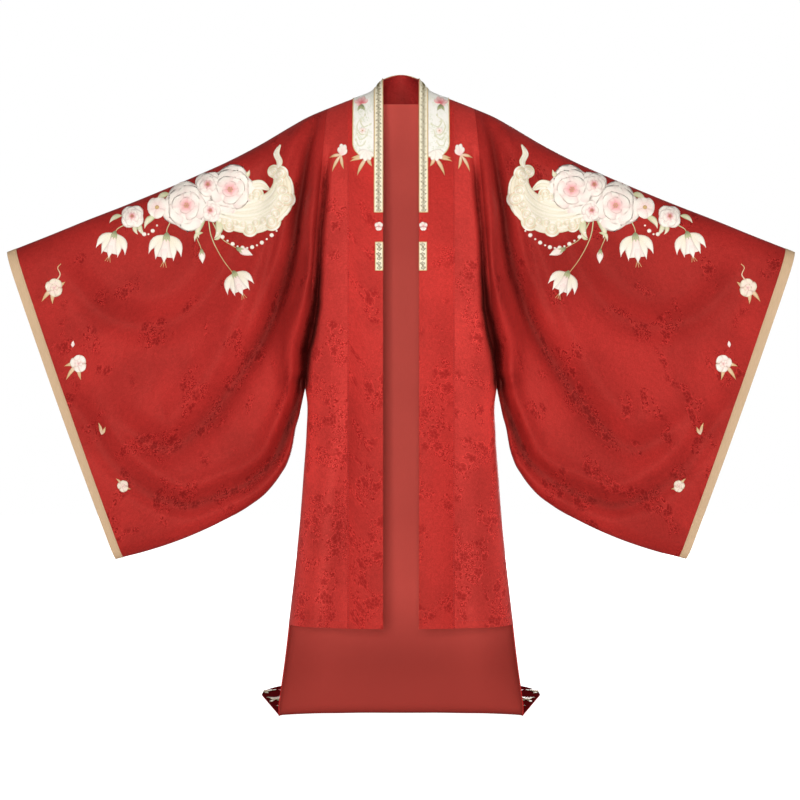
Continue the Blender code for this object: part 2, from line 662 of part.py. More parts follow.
def add_blossom(name, band, normal, mirrored):
    """A five-petalled disc: a middle point and a scalloped rim, top and bottom."""
    middle_out, middle_height, radius = BLOSSOM
    turn = np.arange(40) * 2 * np.pi / 40
    reach = radius * (0.80 + 0.20 * np.abs(np.cos(2.5 * turn)))
    out = np.concatenate([[middle_out], middle_out + reach * np.sin(turn)])
    height = np.concatenate([[middle_height], middle_height + reach * np.cos(turn)])
    row, column = band_cell(out, height)
    cells = (2 * NAPE_ROW - row if mirrored else row, column)
    base, up = at_cells(band, *cells), unit(at_cells(normal, *cells))
    points = np.concatenate([base + (LAID_GAP + LAID) * up, base + LAID_GAP * up])
    faces = []
    for i in range(40):
        a, b = 1 + i, 1 + (i + 1) % 40
        faces += [(0, a, b), (41, 41 + b, 41 + a), (a, 41 + a, 41 + b), (a, 41 + b, b)]
    solid(name, points, faces, "cream")


def add_sleeves():
    cuff_seam = 1 - CUFF_SHARE
    for name, stations, finish, proud in (
        ("sleeve", SLEEVE_STATIONS + (cuff_seam,), "silk", 0.0),
        ("cuff", (cuff_seam + 0.0004, 1 - CUFF_SHARE / 2, 1.0), "gold", 0.0005),
    ):
        outer = sleeve_points(stations)
        cuts = tuple((ALL, end, ring_across(stations[end])) for end in (0, -1))
        if name == "sleeve":
            outer[:, 0, 0] += SEAM_GAP / 2
        normal = outward(outer, ring=True, cuts=cuts)
        inner = outer - CLOTH * normal
        for side, mirrored in (("left", False), ("right", True)):
            wall(f"{name}_{side}", outer + proud * normal, inner, finish, ring=True,
                 mirrored=mirrored)


def build():
    add_fronts()
    band, band_normal, back, back_normal = neck_and_back()
    add_back(back, back_normal)
    add_collar(band, band_normal)
    add_sleeves()


for old in list(bpy.data.objects):
    bpy.data.objects.remove(old)
build()
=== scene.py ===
"""How a wide-sleeved hanfu robe looks: red figured silk worn open over a plain lining,
with gold cuff ribbons, a cream collar piece and raised embroidery."""

import math

import bmesh
import bpy
import numpy as np
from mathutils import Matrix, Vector
from mathutils.bvhtree import BVHTree


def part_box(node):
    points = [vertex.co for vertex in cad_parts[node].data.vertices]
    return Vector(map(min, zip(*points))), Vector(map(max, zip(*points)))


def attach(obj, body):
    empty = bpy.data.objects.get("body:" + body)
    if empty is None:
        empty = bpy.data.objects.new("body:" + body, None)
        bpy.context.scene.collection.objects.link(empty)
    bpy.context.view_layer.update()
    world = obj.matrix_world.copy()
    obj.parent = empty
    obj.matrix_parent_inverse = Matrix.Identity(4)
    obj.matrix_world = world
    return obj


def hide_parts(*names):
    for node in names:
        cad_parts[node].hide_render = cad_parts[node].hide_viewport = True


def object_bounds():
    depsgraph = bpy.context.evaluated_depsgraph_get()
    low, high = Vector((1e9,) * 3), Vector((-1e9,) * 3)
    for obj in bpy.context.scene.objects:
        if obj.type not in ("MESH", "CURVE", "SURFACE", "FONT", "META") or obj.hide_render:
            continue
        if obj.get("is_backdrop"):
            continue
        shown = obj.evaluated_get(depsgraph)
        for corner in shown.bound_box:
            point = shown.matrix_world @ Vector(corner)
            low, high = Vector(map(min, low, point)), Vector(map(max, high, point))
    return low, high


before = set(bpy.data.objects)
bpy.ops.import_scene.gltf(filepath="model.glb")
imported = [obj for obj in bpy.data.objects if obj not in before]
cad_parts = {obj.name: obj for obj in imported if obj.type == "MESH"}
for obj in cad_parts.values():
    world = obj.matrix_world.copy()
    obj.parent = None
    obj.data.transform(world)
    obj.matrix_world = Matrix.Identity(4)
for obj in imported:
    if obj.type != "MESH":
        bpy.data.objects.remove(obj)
cad_low, cad_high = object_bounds()

# --- The room -----------------------------------------------------------------------
# A pale floor that the robe's train lies on, soft light from the front on both sides,
# and a camera that stands level with the middle of the robe.

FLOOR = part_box("back_lining")[0][2]
FLOOR_HALF, FLOOR_GAP = 9.0, 0.0005  # half its width, and the room under the robe
CAMERA_AT = (-0.0024, -5.0, -0.734)
CAMERA_LENS = 92.2  # millimetres, on a sensor 36 mm wide
LIGHTS = {  # place, size in metres, power in watts
    "front": ((-0.25, -6.4, -0.5), 0.9, 219),
    "key": ((-2.6, -4.0, 1.2), 2.0, 40),
    "fill": ((2.8, -4.4, 0.2), 3.0, 70),
    "back": ((1.0, 5.4, 0.1), 3.0, 170),
}
SKY = 0.22  # the room's own soft light, on every side
LIGHT_AIM = (0.0, 0.0, -0.7)


def new_material(name):
    """A material of this name, its Principled BSDF, and its node tree."""
    made = bpy.data.materials.new(name)
    made.use_nodes = True
    return made, made.node_tree.nodes["Principled BSDF"], made.node_tree


def fill(made, values):
    """Sets a node's inputs, or links them, by name or number."""
    for key, value in dict(values).items():
        if isinstance(value, bpy.types.NodeSocket):
            made.id_data.links.new(value, made.inputs[key])
        else:
            made.inputs[key].default_value = value


def node(tree, kind, values=(), **settings):
    """A node with its settings, and its inputs set or linked."""
    made = tree.nodes.new(kind)
    for name, value in settings.items():
        setattr(made, name, value)
    fill(made, values)
    return made


def put(name, data):
    """An object of this mesh, lamp or camera, in the scene."""
    made = bpy.data.objects.new(name, data)
    bpy.context.scene.collection.objects.link(made)
    return made


def add_mesh(name, points, faces, materials, slots=None):
    """A smooth mesh object with its materials; slots gives each face's material."""
    mesh = bpy.data.meshes.new(name)
    mesh.from_pydata(np.asarray(points).tolist(), [], faces)
    for each in materials:
        mesh.materials.append(each)
    if slots is not None:
        mesh.polygons.foreach_set("material_index", np.asarray(slots, dtype=np.int32))
    mesh.shade_smooth()
    return put(name, mesh)


floor_finish, floor_shader, floor_tree = new_material("pale_floor")
fill(floor_shader, {
    "Base Color": (0.93, 0.92, 0.91, 1), "Roughness": 0.95, "Specular IOR Level": 0.0,
    "Emission Color": (1, 1, 1, 1),
    "Emission Strength": node(floor_tree, "ShaderNodeLightPath").outputs["Is Camera Ray"]})
floor_corners = [(x * FLOOR_HALF, y * FLOOR_HALF, FLOOR - FLOOR_GAP)
                 for x, y in ((-1, -1), (1, -1), (1, 1), (-1, 1))]
add_mesh("floor", floor_corners, [(0, 1, 2, 3)], [floor_finish])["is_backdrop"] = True
for light_name, (place, size, watts) in LIGHTS.items():
    lamp = bpy.data.lights.new(light_name, "AREA")
    lamp.energy, lamp.size = watts, size
    light = put(light_name, lamp)
    light.location = place
    light.rotation_euler = (Vector(LIGHT_AIM) - Vector(place)).to_track_quat("-Z", "Y").to_euler()
world = bpy.data.worlds.new("studio")
world.use_nodes = True
seen = node(world.node_tree, "ShaderNodeLightPath").outputs["Is Camera Ray"]
white_wall = node(world.node_tree, "ShaderNodeMapRange", {0: seen, 3: SKY, 4: 1.0}).outputs[0]
fill(world.node_tree.nodes["Background"], {"Color": (1, 1, 1, 1), "Strength": white_wall})
bpy.context.scene.world = world
bpy.context.scene.view_settings.view_transform = "Standard"

camera = bpy.data.cameras.new("camera")
camera.lens, camera.sensor_width = CAMERA_LENS, 36
bpy.context.scene.camera = put("camera", camera)
bpy.context.scene.camera.location = CAMERA_AT
bpy.context.scene.camera.rotation_euler = (math.radians(90), 0, 0)

# --- The two fronts -----------------------------------------------------------------
# Panels of red silk damask, joined to the collar band, to the sleeves along the armholes
# and to the back below them. They hang from the shoulders with soft upright folds.

CLOTH = 0.0018  # wall of the silk
LINING = 0.0010  # wall of the plain lining
SEAM_GAP = 0.0001  # clearance between pieces that are sewn together
OPENING_HALF = 0.0427  # each front edge stands this far from the middle
BAND_SEAM = 0.1280  # the collar band reaches out to here
SHOULDER_POINT = 0.1780  # the armhole seam starts this far out, on the shoulder
UNDERARM = (0.2340, -0.7050)  # and ends here: distance out, height
FRONT_HEM = -1.2780
NECK_SEAM = (0.0880, 0.0000)  # the band's seam at the nape: distance back, height
NECK_TOP = (0.0700, 0.0700)  # the band's free edge at the nape
CUFF_BOW = 0.0050  # how far the cuff's edge bows out between its corners


def table(names, rows):
    """A table of millimetres, as a dictionary of columns in metres."""
    return dict(zip(names.split(), np.array(rows).T / 1000))


# The top outline: neck, shoulder and the upper edge of the sleeve.
TOP_LINE = table("out height", (
    (0, 75), (20, 67), (42.7, 50), (58.6, 32), (70.8, 19.5), (88, 11), (114.7, 1.5), (170, -20),
    (230.6, -46), (266, -66), (344, -112), (415, -149), (494, -185), (581, -222), (672, -259),
    (765, -295), (856, -332), (960, -373),
))

# The lower edge of the sleeve, from the underarm to the cuff's lowest corner.
SLEEVE_FOOT = table("out height", (
    (234, -705), (240, -734), (247.7, -771), (257.5, -808), (263.5, -844), (274.5, -881),
    (295, -918), (324.5, -956), (371, -993), (437, -1030), (515, -1066), (618.5, -1102),
    (696, -1122),
))

# The body's sections. reach is where the oval section would end: past the armhole seam
# above the underarm, and at the side seam below it. side_back is how far back that seam
# is swept, as the side turns into the train.
BODY = table("height reach front_depth back_depth side_back", (
    (80, 300, 80, 80, 0), (0, 310, 90, 90, 0), (-100, 315, 108, 105, 0), (-250, 305, 122, 114, 0),
    (-450, 280, 124, 118, 0), (-600, 250, 124, 122, 0), (-705, 234, 124, 126, 0),
    (-734, 229.5, 124, 127, 0), (-808, 230.6, 125, 130, 0), (-917, 238, 127, 134, 0),
    (-1027, 246.5, 129, 139, 0), (-1137, 257.5, 132, 145, 0), (-1247, 270, 136, 152, 0),
    (-1357, 284, 140, 150, 40), (-1500, 306, 140, 150, 100),
))
SECTION_POWER = 2.4  # 2 is an ellipse; more is squarer

# Half the sleeve's thickness where it hangs from the arm, by share of its length, and
# how that changes from its top to its foot.
ARM = {"share": (0, 0.25, 0.60, 1.0), "depth": (0.066, 0.054, 0.044, 0.036)}
HANG = {"share": (0, 0.10, 0.30, 0.60, 0.90, 1.0), "depth": (1, 1, 0.80, 0.66, 0.55, 0.5)}
SLEEVE_BLEND = 0.24  # the chest's fullness has gone by this share of the sleeve
SHOULDER_FALL = 0.100  # how slowly the body's fullness comes below the shoulder
ARM_ROUND = 0.080  # share of the sleeve's drop that rounds over the arm
FOOT_ROUND = 0.045  # share that rounds in at the sleeve's foot
LEAST_DEPTH = 0.012  # half the room left between the sleeve's two layers
LEAST_SOFT = 0.003  # how softly the folds stop at it
LEAST_FROM, FOOT_FROM = 0.06, 0.10  # shares of the sleeve in which this room and the foot start
FLOOR_DEPTH = 0.150  # the back's depth at the floor


def folds(*tables):
    return [table("out height depth width inner", rows) for rows in tables]


# Each fold is a soft trough along a path, and each row of its table is one point of it:
# distance out, height, depth, width, and in some its width towards the body, where it is
# steeper. The cloth beside it, away from the body, stands a little proud.
FRONT_FOLDS = folds(
    # the hollow along the armhole
    [(172, -120, 1, 12, 8), (175, -149, 11, 13, 8), (180, -185, 23, 13, 8),
     (182, -221, 29, 13, 8), (185, -257, 29, 13, 8), (189, -292, 29, 13, 8),
     (193, -328, 30, 12, 8), (195, -364, 32, 11, 8), (197, -400, 35, 11, 8),
     (198, -436, 41, 12, 8), (201, -472, 48, 15, 8), (203, -507, 54, 18, 9),
     (209, -543, 56, 21, 9), (216, -579, 56, 24, 10), (227, -620, 52, 24, 11),
     (235, -690, 36, 18, 11)],
    # the swag from the shoulder
    [(203, -50, 13, 18, 10), (222, -129, 26, 20, 10), (236, -219, 32, 23, 11),
     (247, -289, 33, 25, 11), (254, -350, 32, 27, 12), (268, -420, 30, 29, 14),
     (288, -480, 28, 31, 16), (320, -560, 26, 33, 19), (358, -625, 23, 34, 22),
     (411, -705, 20, 34, 26), (478, -790, 18, 34, 30), (556, -850, 16, 33, 32),
     (649, -817, 12, 32, 32), (740, -745, 2, 30, 30)],
    # a small pleat beside it
    [(232, -80, 1, 12, 8), (262, -180, 8, 14, 9), (292, -300, 10, 16, 10), (330, -430, 9, 18, 12),
     (372, -540, 7, 20, 14), (430, -660, 1, 22, 16)],
    # the swag from the underarm along the foot
    [(243, -690, 30, 14), (255, -745, 34, 15), (272, -794, 34, 16), (289, -838, 30, 17),
     (304, -870, 26, 17), (324, -895, 23, 18), (370, -933, 20, 20), (412, -952, 19, 22),
     (472, -976, 20, 22), (530, -987, 20, 22), (617, -954, 18, 24), (693, -890, 16, 26),
     (742, -817, 14, 26), (800, -735, 4, 24)],
    # the swag that hangs from the arm
    [(330, -180, 3, 28), (380, -300, 8, 30), (430, -415, 11, 34), (490, -500, 13, 36),
     (560, -545, 14, 36), (640, -552, 14, 36), (720, -525, 12, 34), (780, -465, 10, 32),
     (830, -405, 3, 30)],
)
BACK_FOLDS = folds(
    # the hollow along the armhole
    [(178, -30, 0, 14), (187, -160, 20, 18), (200, -300, 32, 20), (214, -470, 34, 20),
     (234, -690, 10, 14)],
    # the swag from the shoulder
    [(215, -70, 4, 18), (250, -220, 24, 22), (290, -380, 26, 28), (345, -560, 20, 32),
     (430, -740, 14, 34), (520, -830, 14, 34), (620, -800, 12, 32), (710, -700, 2, 30)],
    # the swag from the underarm along the foot
    [(270, -740, 6, 24), (300, -850, 14, 26), (370, -920, 15, 28), (450, -965, 15, 28),
     (540, -975, 16, 28), (630, -930, 16, 28), (710, -850, 12, 28), (780, -760, 3, 26)],
    # the swag that hangs from the arm
    [(350, -220, 3, 30), (420, -400, 10, 34), (500, -510, 13, 36), (590, -540, 13, 36),
     (690, -500, 11, 34), (780, -420, 3, 30)],
    # two flutes down the back
    [(75, -450, 0, 36), (85, -950, -6, 40), (95, -1480, -10, 44)],
    [(165, -700, 0, 34), (185, -1050, -6, 38), (205, -1480, -10, 42)],
)
# one hanging fold more in each front
LEFT_FOLDS = FRONT_FOLDS + folds(
    [(130, -700, 0, 26), (136, -980, 5, 28), (150, -1285, 7, 30)],
)
RIGHT_FOLDS = FRONT_FOLDS + folds(
    [(128, -560, 0, 22), (132, -800, 6, 22), (156, -954, 9, 22), (168, -1127, 10, 24),
     (182, -1285, 10, 26)],
)
PROUD = 0.45  # the swell beside a trough, as a share of the trough's depth
SWELL_AT, SWELL_WIDTH = 1.8, 1.2  # where that swell is and how wide, in widths of the trough
SIDE_FADE = 0.03  # the folds fade out over this distance before the side seam
SIDES = (("left", False), ("right", True))  # the right side is the left one mirrored

# How finely a panel is divided: shares of the armhole from the shoulder down, shares of
# the skirt below it, and shares of the way from the band's seam out to the side.
BODY_SHARES = np.linspace(0, 1, 105) ** 1.6
SKIRT_SHARES = np.linspace(0, 1, 65)[1:]
SIDE_SHARES = 1 - (1 - np.linspace(0, 1, 61)) ** 1.2
BAND_COLUMNS = np.linspace(OPENING_HALF, BAND_SEAM, 23)
NECK_TURNS = 28


def ease(share):
    """A smooth step from 0 to 1."""
    share = np.clip(share, 0, 1)
    return share * share * (3 - 2 * share)


def round_in(share, radius):
    """A quarter round: 0 at share 0, and 1 from radius on."""
    left = np.clip(1 - np.asarray(share, float) / radius, 0, 1)
    return np.sqrt(1 - left**2)


def smooth_curve(across, values, at):
    """A Catmull-Rom curve through the table's points, read at the given places."""
    across, values = np.asarray(across, float), np.asarray(values, float)
    slope = np.gradient(values, across)
    i = np.clip(np.searchsorted(across, at, side="right") - 1, 0, len(across) - 2)
    step = across[i + 1] - across[i]
    t = (np.clip(at, across[0], across[-1]) - across[i]) / step
    return (
        (2 * t**3 - 3 * t**2 + 1) * values[i]
        + (t**3 - 2 * t**2 + t) * step * slope[i]
        + (3 * t**2 - 2 * t**3) * values[i + 1]
        + (t**3 - t**2) * step * slope[i + 1]
    )


def top_height(out):
    """How high the top outline is, this far out."""
    return smooth_curve(TOP_LINE["out"], TOP_LINE["height"], out)


def run_of(line):
    """How far along a line each of its points is."""
    return np.concatenate([[0], np.cumsum(np.linalg.norm(np.diff(line, axis=0), axis=1))])


def outline(edge, first_out, shares):
    """Points (out, height) along an outline, at shares of its length past first_out."""
    out = np.linspace(first_out, edge["out"][-1], 400)
    height = smooth_curve(edge["out"], edge["height"], out)
    length = run_of(np.column_stack([out, height]))
    at = np.asarray(shares) * length[-1]
    return np.interp(at, length, out), np.interp(at, length, height)


def body_table(name, height):
    """A measure of the body at a height."""
    return smooth_curve(-np.array(BODY["height"]), BODY[name], -np.asarray(height, float))


def body_depth(out, height, side):
    """How far the body stands from the side seams' plane, before folds."""
    full = 1 - np.clip(out / body_table("reach", height), 0, 1) ** SECTION_POWER
    return body_table(side, height) * full ** (1 / SECTION_POWER)


def body_fullness(drop, power=0.5):
    """How much of the body's depth has come at this drop below the shoulder."""
    whole = 1 + SHOULDER_FALL / -UNDERARM[1]
    return np.clip(drop / (drop + SHOULDER_FALL) * whole, 0, 1) ** power


def fold_depth(folds, out, height):
    """How deep the folds press the cloth in at each point."""
    pressed = np.zeros(np.shape(out))
    for fold in folds:
        spread = np.linspace(0, len(fold["out"]) - 1, 8 * len(fold["out"]))
        rows = np.arange(len(fold["out"]))
        path = {name: smooth_curve(rows, fold[name], spread) for name in fold}
        away_out = np.asarray(out)[..., None] - path["out"]
        away_up = np.asarray(height)[..., None] - path["height"]
        nearest = np.argmin(away_out**2 + away_up**2, axis=-1)[..., None]
        run_out = np.gradient(path["out"])[nearest]
        run_up = np.gradient(path["height"])[nearest]
        run = np.hypot(run_out, run_up)
        away_out = np.take_along_axis(away_out, nearest, -1)
        away_up = np.take_along_axis(away_up, nearest, -1)
        beside = (run_out * away_up - run_up * away_out) / run
        past = (run_out * away_out + run_up * away_up) / run
        width, depth = path["width"][nearest], path["depth"][nearest]
        inner = path.get("inner", path["width"])[nearest]
        fade = np.exp(-((past / width) ** 2))
        trough = np.exp(-((beside / np.where(beside < 0, inner, width)) ** 2))
        swell = np.exp(-(((beside - SWELL_AT * width) / (SWELL_WIDTH * width)) ** 2))
        pressed += (depth * fade * (trough - PROUD * swell))[..., 0]
    return pressed


def armhole(share):
    """The armhole seam: a straight line from the shoulder to the underarm."""
    start = np.array([SHOULDER_POINT, top_height(SHOULDER_POINT)])
    at = start + np.asarray(share, float)[..., None] * (np.array(UNDERARM) - start)
    return at[..., 0], at[..., 1]


def arm_depth(station, share):
    """Half the thickness of the sleeve where it hangs from the arm."""
    return np.interp(station, ARM["share"], ARM["depth"]) * smooth_curve(
        HANG["share"], HANG["depth"], share
    )


def sleeve_depth(station, share, out, height, side, folds):
    """Half the sleeve's thickness towards the front or the back."""
    seam_out, seam_height = armhole(share)
    chest = body_depth(seam_out, seam_height, side)
    over_body = body_fullness(share * (armhole(0)[1] - UNDERARM[1]))
    past_seam = ease(station / SLEEVE_BLEND)
    depth = chest * (1 - past_seam) + arm_depth(station, share) * past_seam
    depth = depth - fold_depth(folds, out, height)
    least = LEAST_DEPTH * ease(station / LEAST_FROM)
    depth = least + np.logaddexp(0, (depth - least) / LEAST_SOFT) * LEAST_SOFT
    at_seam = np.maximum(chest - fold_depth(folds, seam_out, seam_height), 0)
    depth = np.where(station == 0, at_seam, depth)
    foot = 1 + (round_in(1 - share, FOOT_ROUND) - 1) * ease(station / FOOT_FROM)
    over_arm = round_in(share, ARM_ROUND)
    return depth * foot * (over_body + (over_arm - over_body) * past_seam)


def body_points(side, folds, columns, hem):
    """Outer points of half a front, back or band, row by row from the shoulder down.

    columns(seam_out) gives the distances out of one row's points.
    """
    top_out = columns(SHOULDER_POINT)
    start_back, start_height = np.zeros_like(top_out), top_height(top_out)
    if side == "back_depth":
        inside = np.clip(1 - (top_out / BAND_SEAM) ** 2, 0, 1)
        start_back = NECK_SEAM[0] * np.sqrt(inside)
        seam_height = NECK_SEAM[1] + (1 - inside) * top_height(BAND_SEAM) - SEAM_GAP
        start_height = np.where(inside > 0, seam_height, start_height)
    rows = []
    for share, skirt in [(s, 0.0) for s in BODY_SHARES] + [(1.0, s) for s in SKIRT_SHARES]:
        seam_out = armhole(share)[0]
        if skirt:
            seam_out = body_table("reach", UNDERARM[1] + skirt * (hem - UNDERARM[1]))
        out = columns(seam_out)
        height = start_height + share * (UNDERARM[1] - start_height)
        height = height + skirt * (hem - UNDERARM[1])
        at_seam = out > seam_out - SEAM_GAP
        at = np.where(at_seam, seam_out, out)
        within = ease((seam_out - out) / SIDE_FADE) if skirt else 1.0
        depth = body_depth(at, height, side) * (1 - at_seam * (share == 1))
        depth = np.maximum(depth - fold_depth(folds, at, height) * within, 0)
        power = 0.5 + 0.5 * (start_back / NECK_SEAM[0]) ** 2
        fullness = body_fullness(share * (start_height - UNDERARM[1]), power)
        if side == "front_depth":
            back = -depth * fullness
        else:
            swept = body_table("side_back", height)
            depth = swept + depth * (1 - swept / FLOOR_DEPTH)
            back = start_back + (depth - start_back) * fullness
        rows.append(np.stack([out, back, height], axis=-1))
    return np.array(rows)


def across(first, seam_out):
    """A row's distances out, from first to just short of its seam."""
    return first + SIDE_SHARES * (seam_out - SEAM_GAP / 2 - first)


def unit(vectors):
    """The same directions, one metre long."""
    return vectors / np.maximum(np.linalg.norm(vectors, axis=-1, keepdims=True), 1e-9)


def outward(points, turned=False, ring=False, cuts=()):
    """Unit normals of a grid of points, away from the wearer.

    Each cut is (rows, columns, direction): the wall's edge there is cut square to that
    direction, so that it meets its neighbour's edge face to face.
    """
    down = np.gradient(points, axis=0)
    if ring:
        down = np.roll(points, -1, 0) - np.roll(points, 1, 0)
    normal = unit(np.cross(down, np.gradient(points, axis=1)) * (-1 if turned else 1))
    for rows, columns, direction in cuts:
        direction = np.array(direction) / np.linalg.norm(direction)
        there = normal[rows, columns]
        normal[rows, columns] = unit(there - (there @ direction)[..., None] * direction)
    return normal


def ring_across(station):
    """The direction square to the line in which a ring of the sleeve lies."""
    top = outline(TOP_LINE, SHOULDER_POINT, station)
    foot = outline(SLEEVE_FOOT, UNDERARM[0], station)
    return np.array([top[1] - foot[1], 0, foot[0] - top[0]])


ALL, BACKWARD = slice(None), slice(None, None, -1)


def seam_cuts(column, mirrored=False):
    """Where a panel's edge is cut square: along its armhole, and down its side."""
    across_seam = ring_across(0) * ([-1, 1, 1] if mirrored else 1)
    below = len(BODY_SHARES) - 1
    return ((slice(0, below), column, across_seam), (slice(below, None), column, (0, 1, 0)))


def wall(name, outer, inner, finishes, ring=False, mirrored=False, turn=(0, 0), level=0):
    """One closed wall between two grids of points. finishes are its outer and inner
    material; its UV map is in metres of cloth from the row level, moved by turn."""
    rows, columns = outer.shape[:2]
    along = np.concatenate([outer, outer[:1]]) if ring else outer
    u = np.cumsum(np.linalg.norm(np.diff(along, axis=1, prepend=along[:, :1]), axis=2), 1)
    v = np.cumsum(np.linalg.norm(np.diff(along, axis=0, prepend=along[:1]), axis=2), 0)
    laid_flat = np.stack([u, v - v[level]], axis=-1) + turn
    points = np.concatenate([outer.reshape(-1, 3), inner.reshape(-1, 3)])
    if mirrored:
        points = points * [-1, 1, 1]
    last = rows if ring else rows - 1
    i, j = (grid.ravel() for grid in np.mgrid[0:last, 0 : columns - 1])
    down, over = np.arange(last), np.arange(columns - 1)
    sets = [  # each face's corners: four rows, four columns, and 1 for the inner grid
        (i, i, i + 1, i + 1, j, j + 1, j + 1, j, 0, 0, 0, 0),
        (i + 1, i + 1, i, i, j, j + 1, j + 1, j, 1, 1, 1, 1),
        (down, down + 1, down + 1, down, 0, 0, 0, 0, 0, 0, 1, 1),
        (down + 1, down, down, down + 1, *[columns - 1] * 4, 0, 0, 1, 1),
    ]
    if not ring:
        sets += [(0, 0, 0, 0, over + 1, over, over, over + 1, 0, 0, 1, 1),
                 (*[rows - 1] * 4, over, over + 1, over + 1, over, 0, 0, 1, 1)]
    corners = np.concatenate([np.stack(np.broadcast_arrays(*each), -1) for each in sets])
    row, column, hidden = corners.reshape(-1, 3, 4).swapaxes(0, 1)
    faces = hidden * rows * columns + row % rows * columns + column
    a, b, c, d = (points[faces[:, k]] for k in range(4))
    if (np.cross(c - a, d - b) * a).sum() < 0:  # inside out
        faces, row, column = faces[:, ::-1], row[:, ::-1], column[:, ::-1]
    slots = np.repeat([0, 1, 0], [len(i), len(i), len(faces) - 2 * len(i)])
    made = add_mesh(name, points, faces.tolist(), finishes, slots)
    layer = made.data.uv_layers.new(name="cloth")
    layer.data.foreach_set("uv", laid_flat[row, column].ravel())
    made.data.set_sharp_from_angle(angle=math.radians(60))
    return made


def sewn_on(piece):
    """A piece that rides the robe."""
    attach(piece, "root")
    return piece


def wear(piece, slot, *nodes, flat, held, rests_on=(), area=None, with_pieces=()):
    """Sets a cloth piece on the robe and hides the parts that it stands for; slot, flat,
    held, rests_on, area and with_pieces are not used.
    """
    sewn_on(piece)
    if nodes:
        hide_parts(*nodes)


def new_group(name, inputs, outputs):
    """A shader node group with named number, vector or colour sockets."""
    group = bpy.data.node_groups.new(name, "ShaderNodeTree")
    for side, sockets in (("INPUT", inputs), ("OUTPUT", outputs)):
        for socket, value in sockets.items():
            kind = {float: "Float", tuple: "Vector"}[type(value)]
            made = group.interface.new_socket(
                name=socket, in_out=side, socket_type="NodeSocket" + kind)
            if side == "INPUT" and kind == "Float":
                made.default_value = value
    return group, group.nodes.new("NodeGroupInput").outputs, group.nodes.new("NodeGroupOutput")


def maths(operation, *values):
    """The result of a Math node in the tree of the first socket among its values."""
    tree = next(each.id_data for each in values if isinstance(each, bpy.types.NodeSocket))
    return node(tree, "ShaderNodeMath", enumerate(values), operation=operation).outputs[0]


def times(first, *others):
    """Values multiplied together."""
    for each in others:
        first = maths("MULTIPLY", first, each)
    return first


def off(first, second):
    """How far one value is from another."""
    return maths("ABSOLUTE", maths("SUBTRACT", first, second))


def arrows(operation, *values):
    """The outputs of a Vector Math node."""
    return node(values[0].id_data, "ShaderNodeVectorMath", enumerate(values),
                operation=operation).outputs


def parts(vector):
    """The x, y and z of a vector."""
    return node(vector.id_data, "ShaderNodeSeparateXYZ", {0: vector}).outputs


def steps(value, low, high, to_low=0.0, to_high=1.0):
    """A smooth step of a value from low to high."""
    return node(value.id_data, "ShaderNodeMapRange", {0: value, 1: low, 2: high, 3: to_low,
                4: to_high}, interpolation_type="SMOOTHSTEP").outputs[0]


def mixed(share, first, second, blend="MIX"):
    """Two colours mixed. A colour is a socket or three numbers."""
    colours = [each if isinstance(each, bpy.types.NodeSocket) else (*each, 1)
               for each in (first, second)]
    tree = next(each.id_data for each in (share, first) if isinstance(each, bpy.types.NodeSocket))
    return node(tree, "ShaderNodeMix", {0: share, 6: colours[0], 7: colours[1]},
                data_type="RGBA", blend_type=blend).outputs[2]


def noise(place, scale, detail=2.0, distortion=0.0):
    """The outputs of a noise over the cloth."""
    return node(place.id_data, "ShaderNodeTexNoise", {"Vector": place, "Scale": scale,
                "Detail": detail, "Distortion": distortion}, noise_dimensions="2D").outputs


def grouped(tree, group, values):
    """The outputs of a node group."""
    return node(tree, "ShaderNodeGroup", values, node_tree=group).outputs


def cell_middles(place, size, spread):
    """The cells of a pattern: how far a place is from its cell's middle, as a share of the
    cells' size, the angle there, and the cell's random number."""
    scale = maths("DIVIDE", 1.0, size)
    cells = node(place.id_data, "ShaderNodeTexVoronoi", {"Vector": place, "Scale": scale,
                 "Randomness": spread}, voronoi_dimensions="2D").outputs
    away = arrows("SUBTRACT", place, cells["Position"])[0]
    x, y, _ = parts(away)
    chance = node(place.id_data, "ShaderNodeSeparateColor", {0: cells["Color"]}).outputs[0]
    far = times(arrows("LENGTH", away)["Value"], scale)
    return far, maths("ARCTAN2", y, x), chance


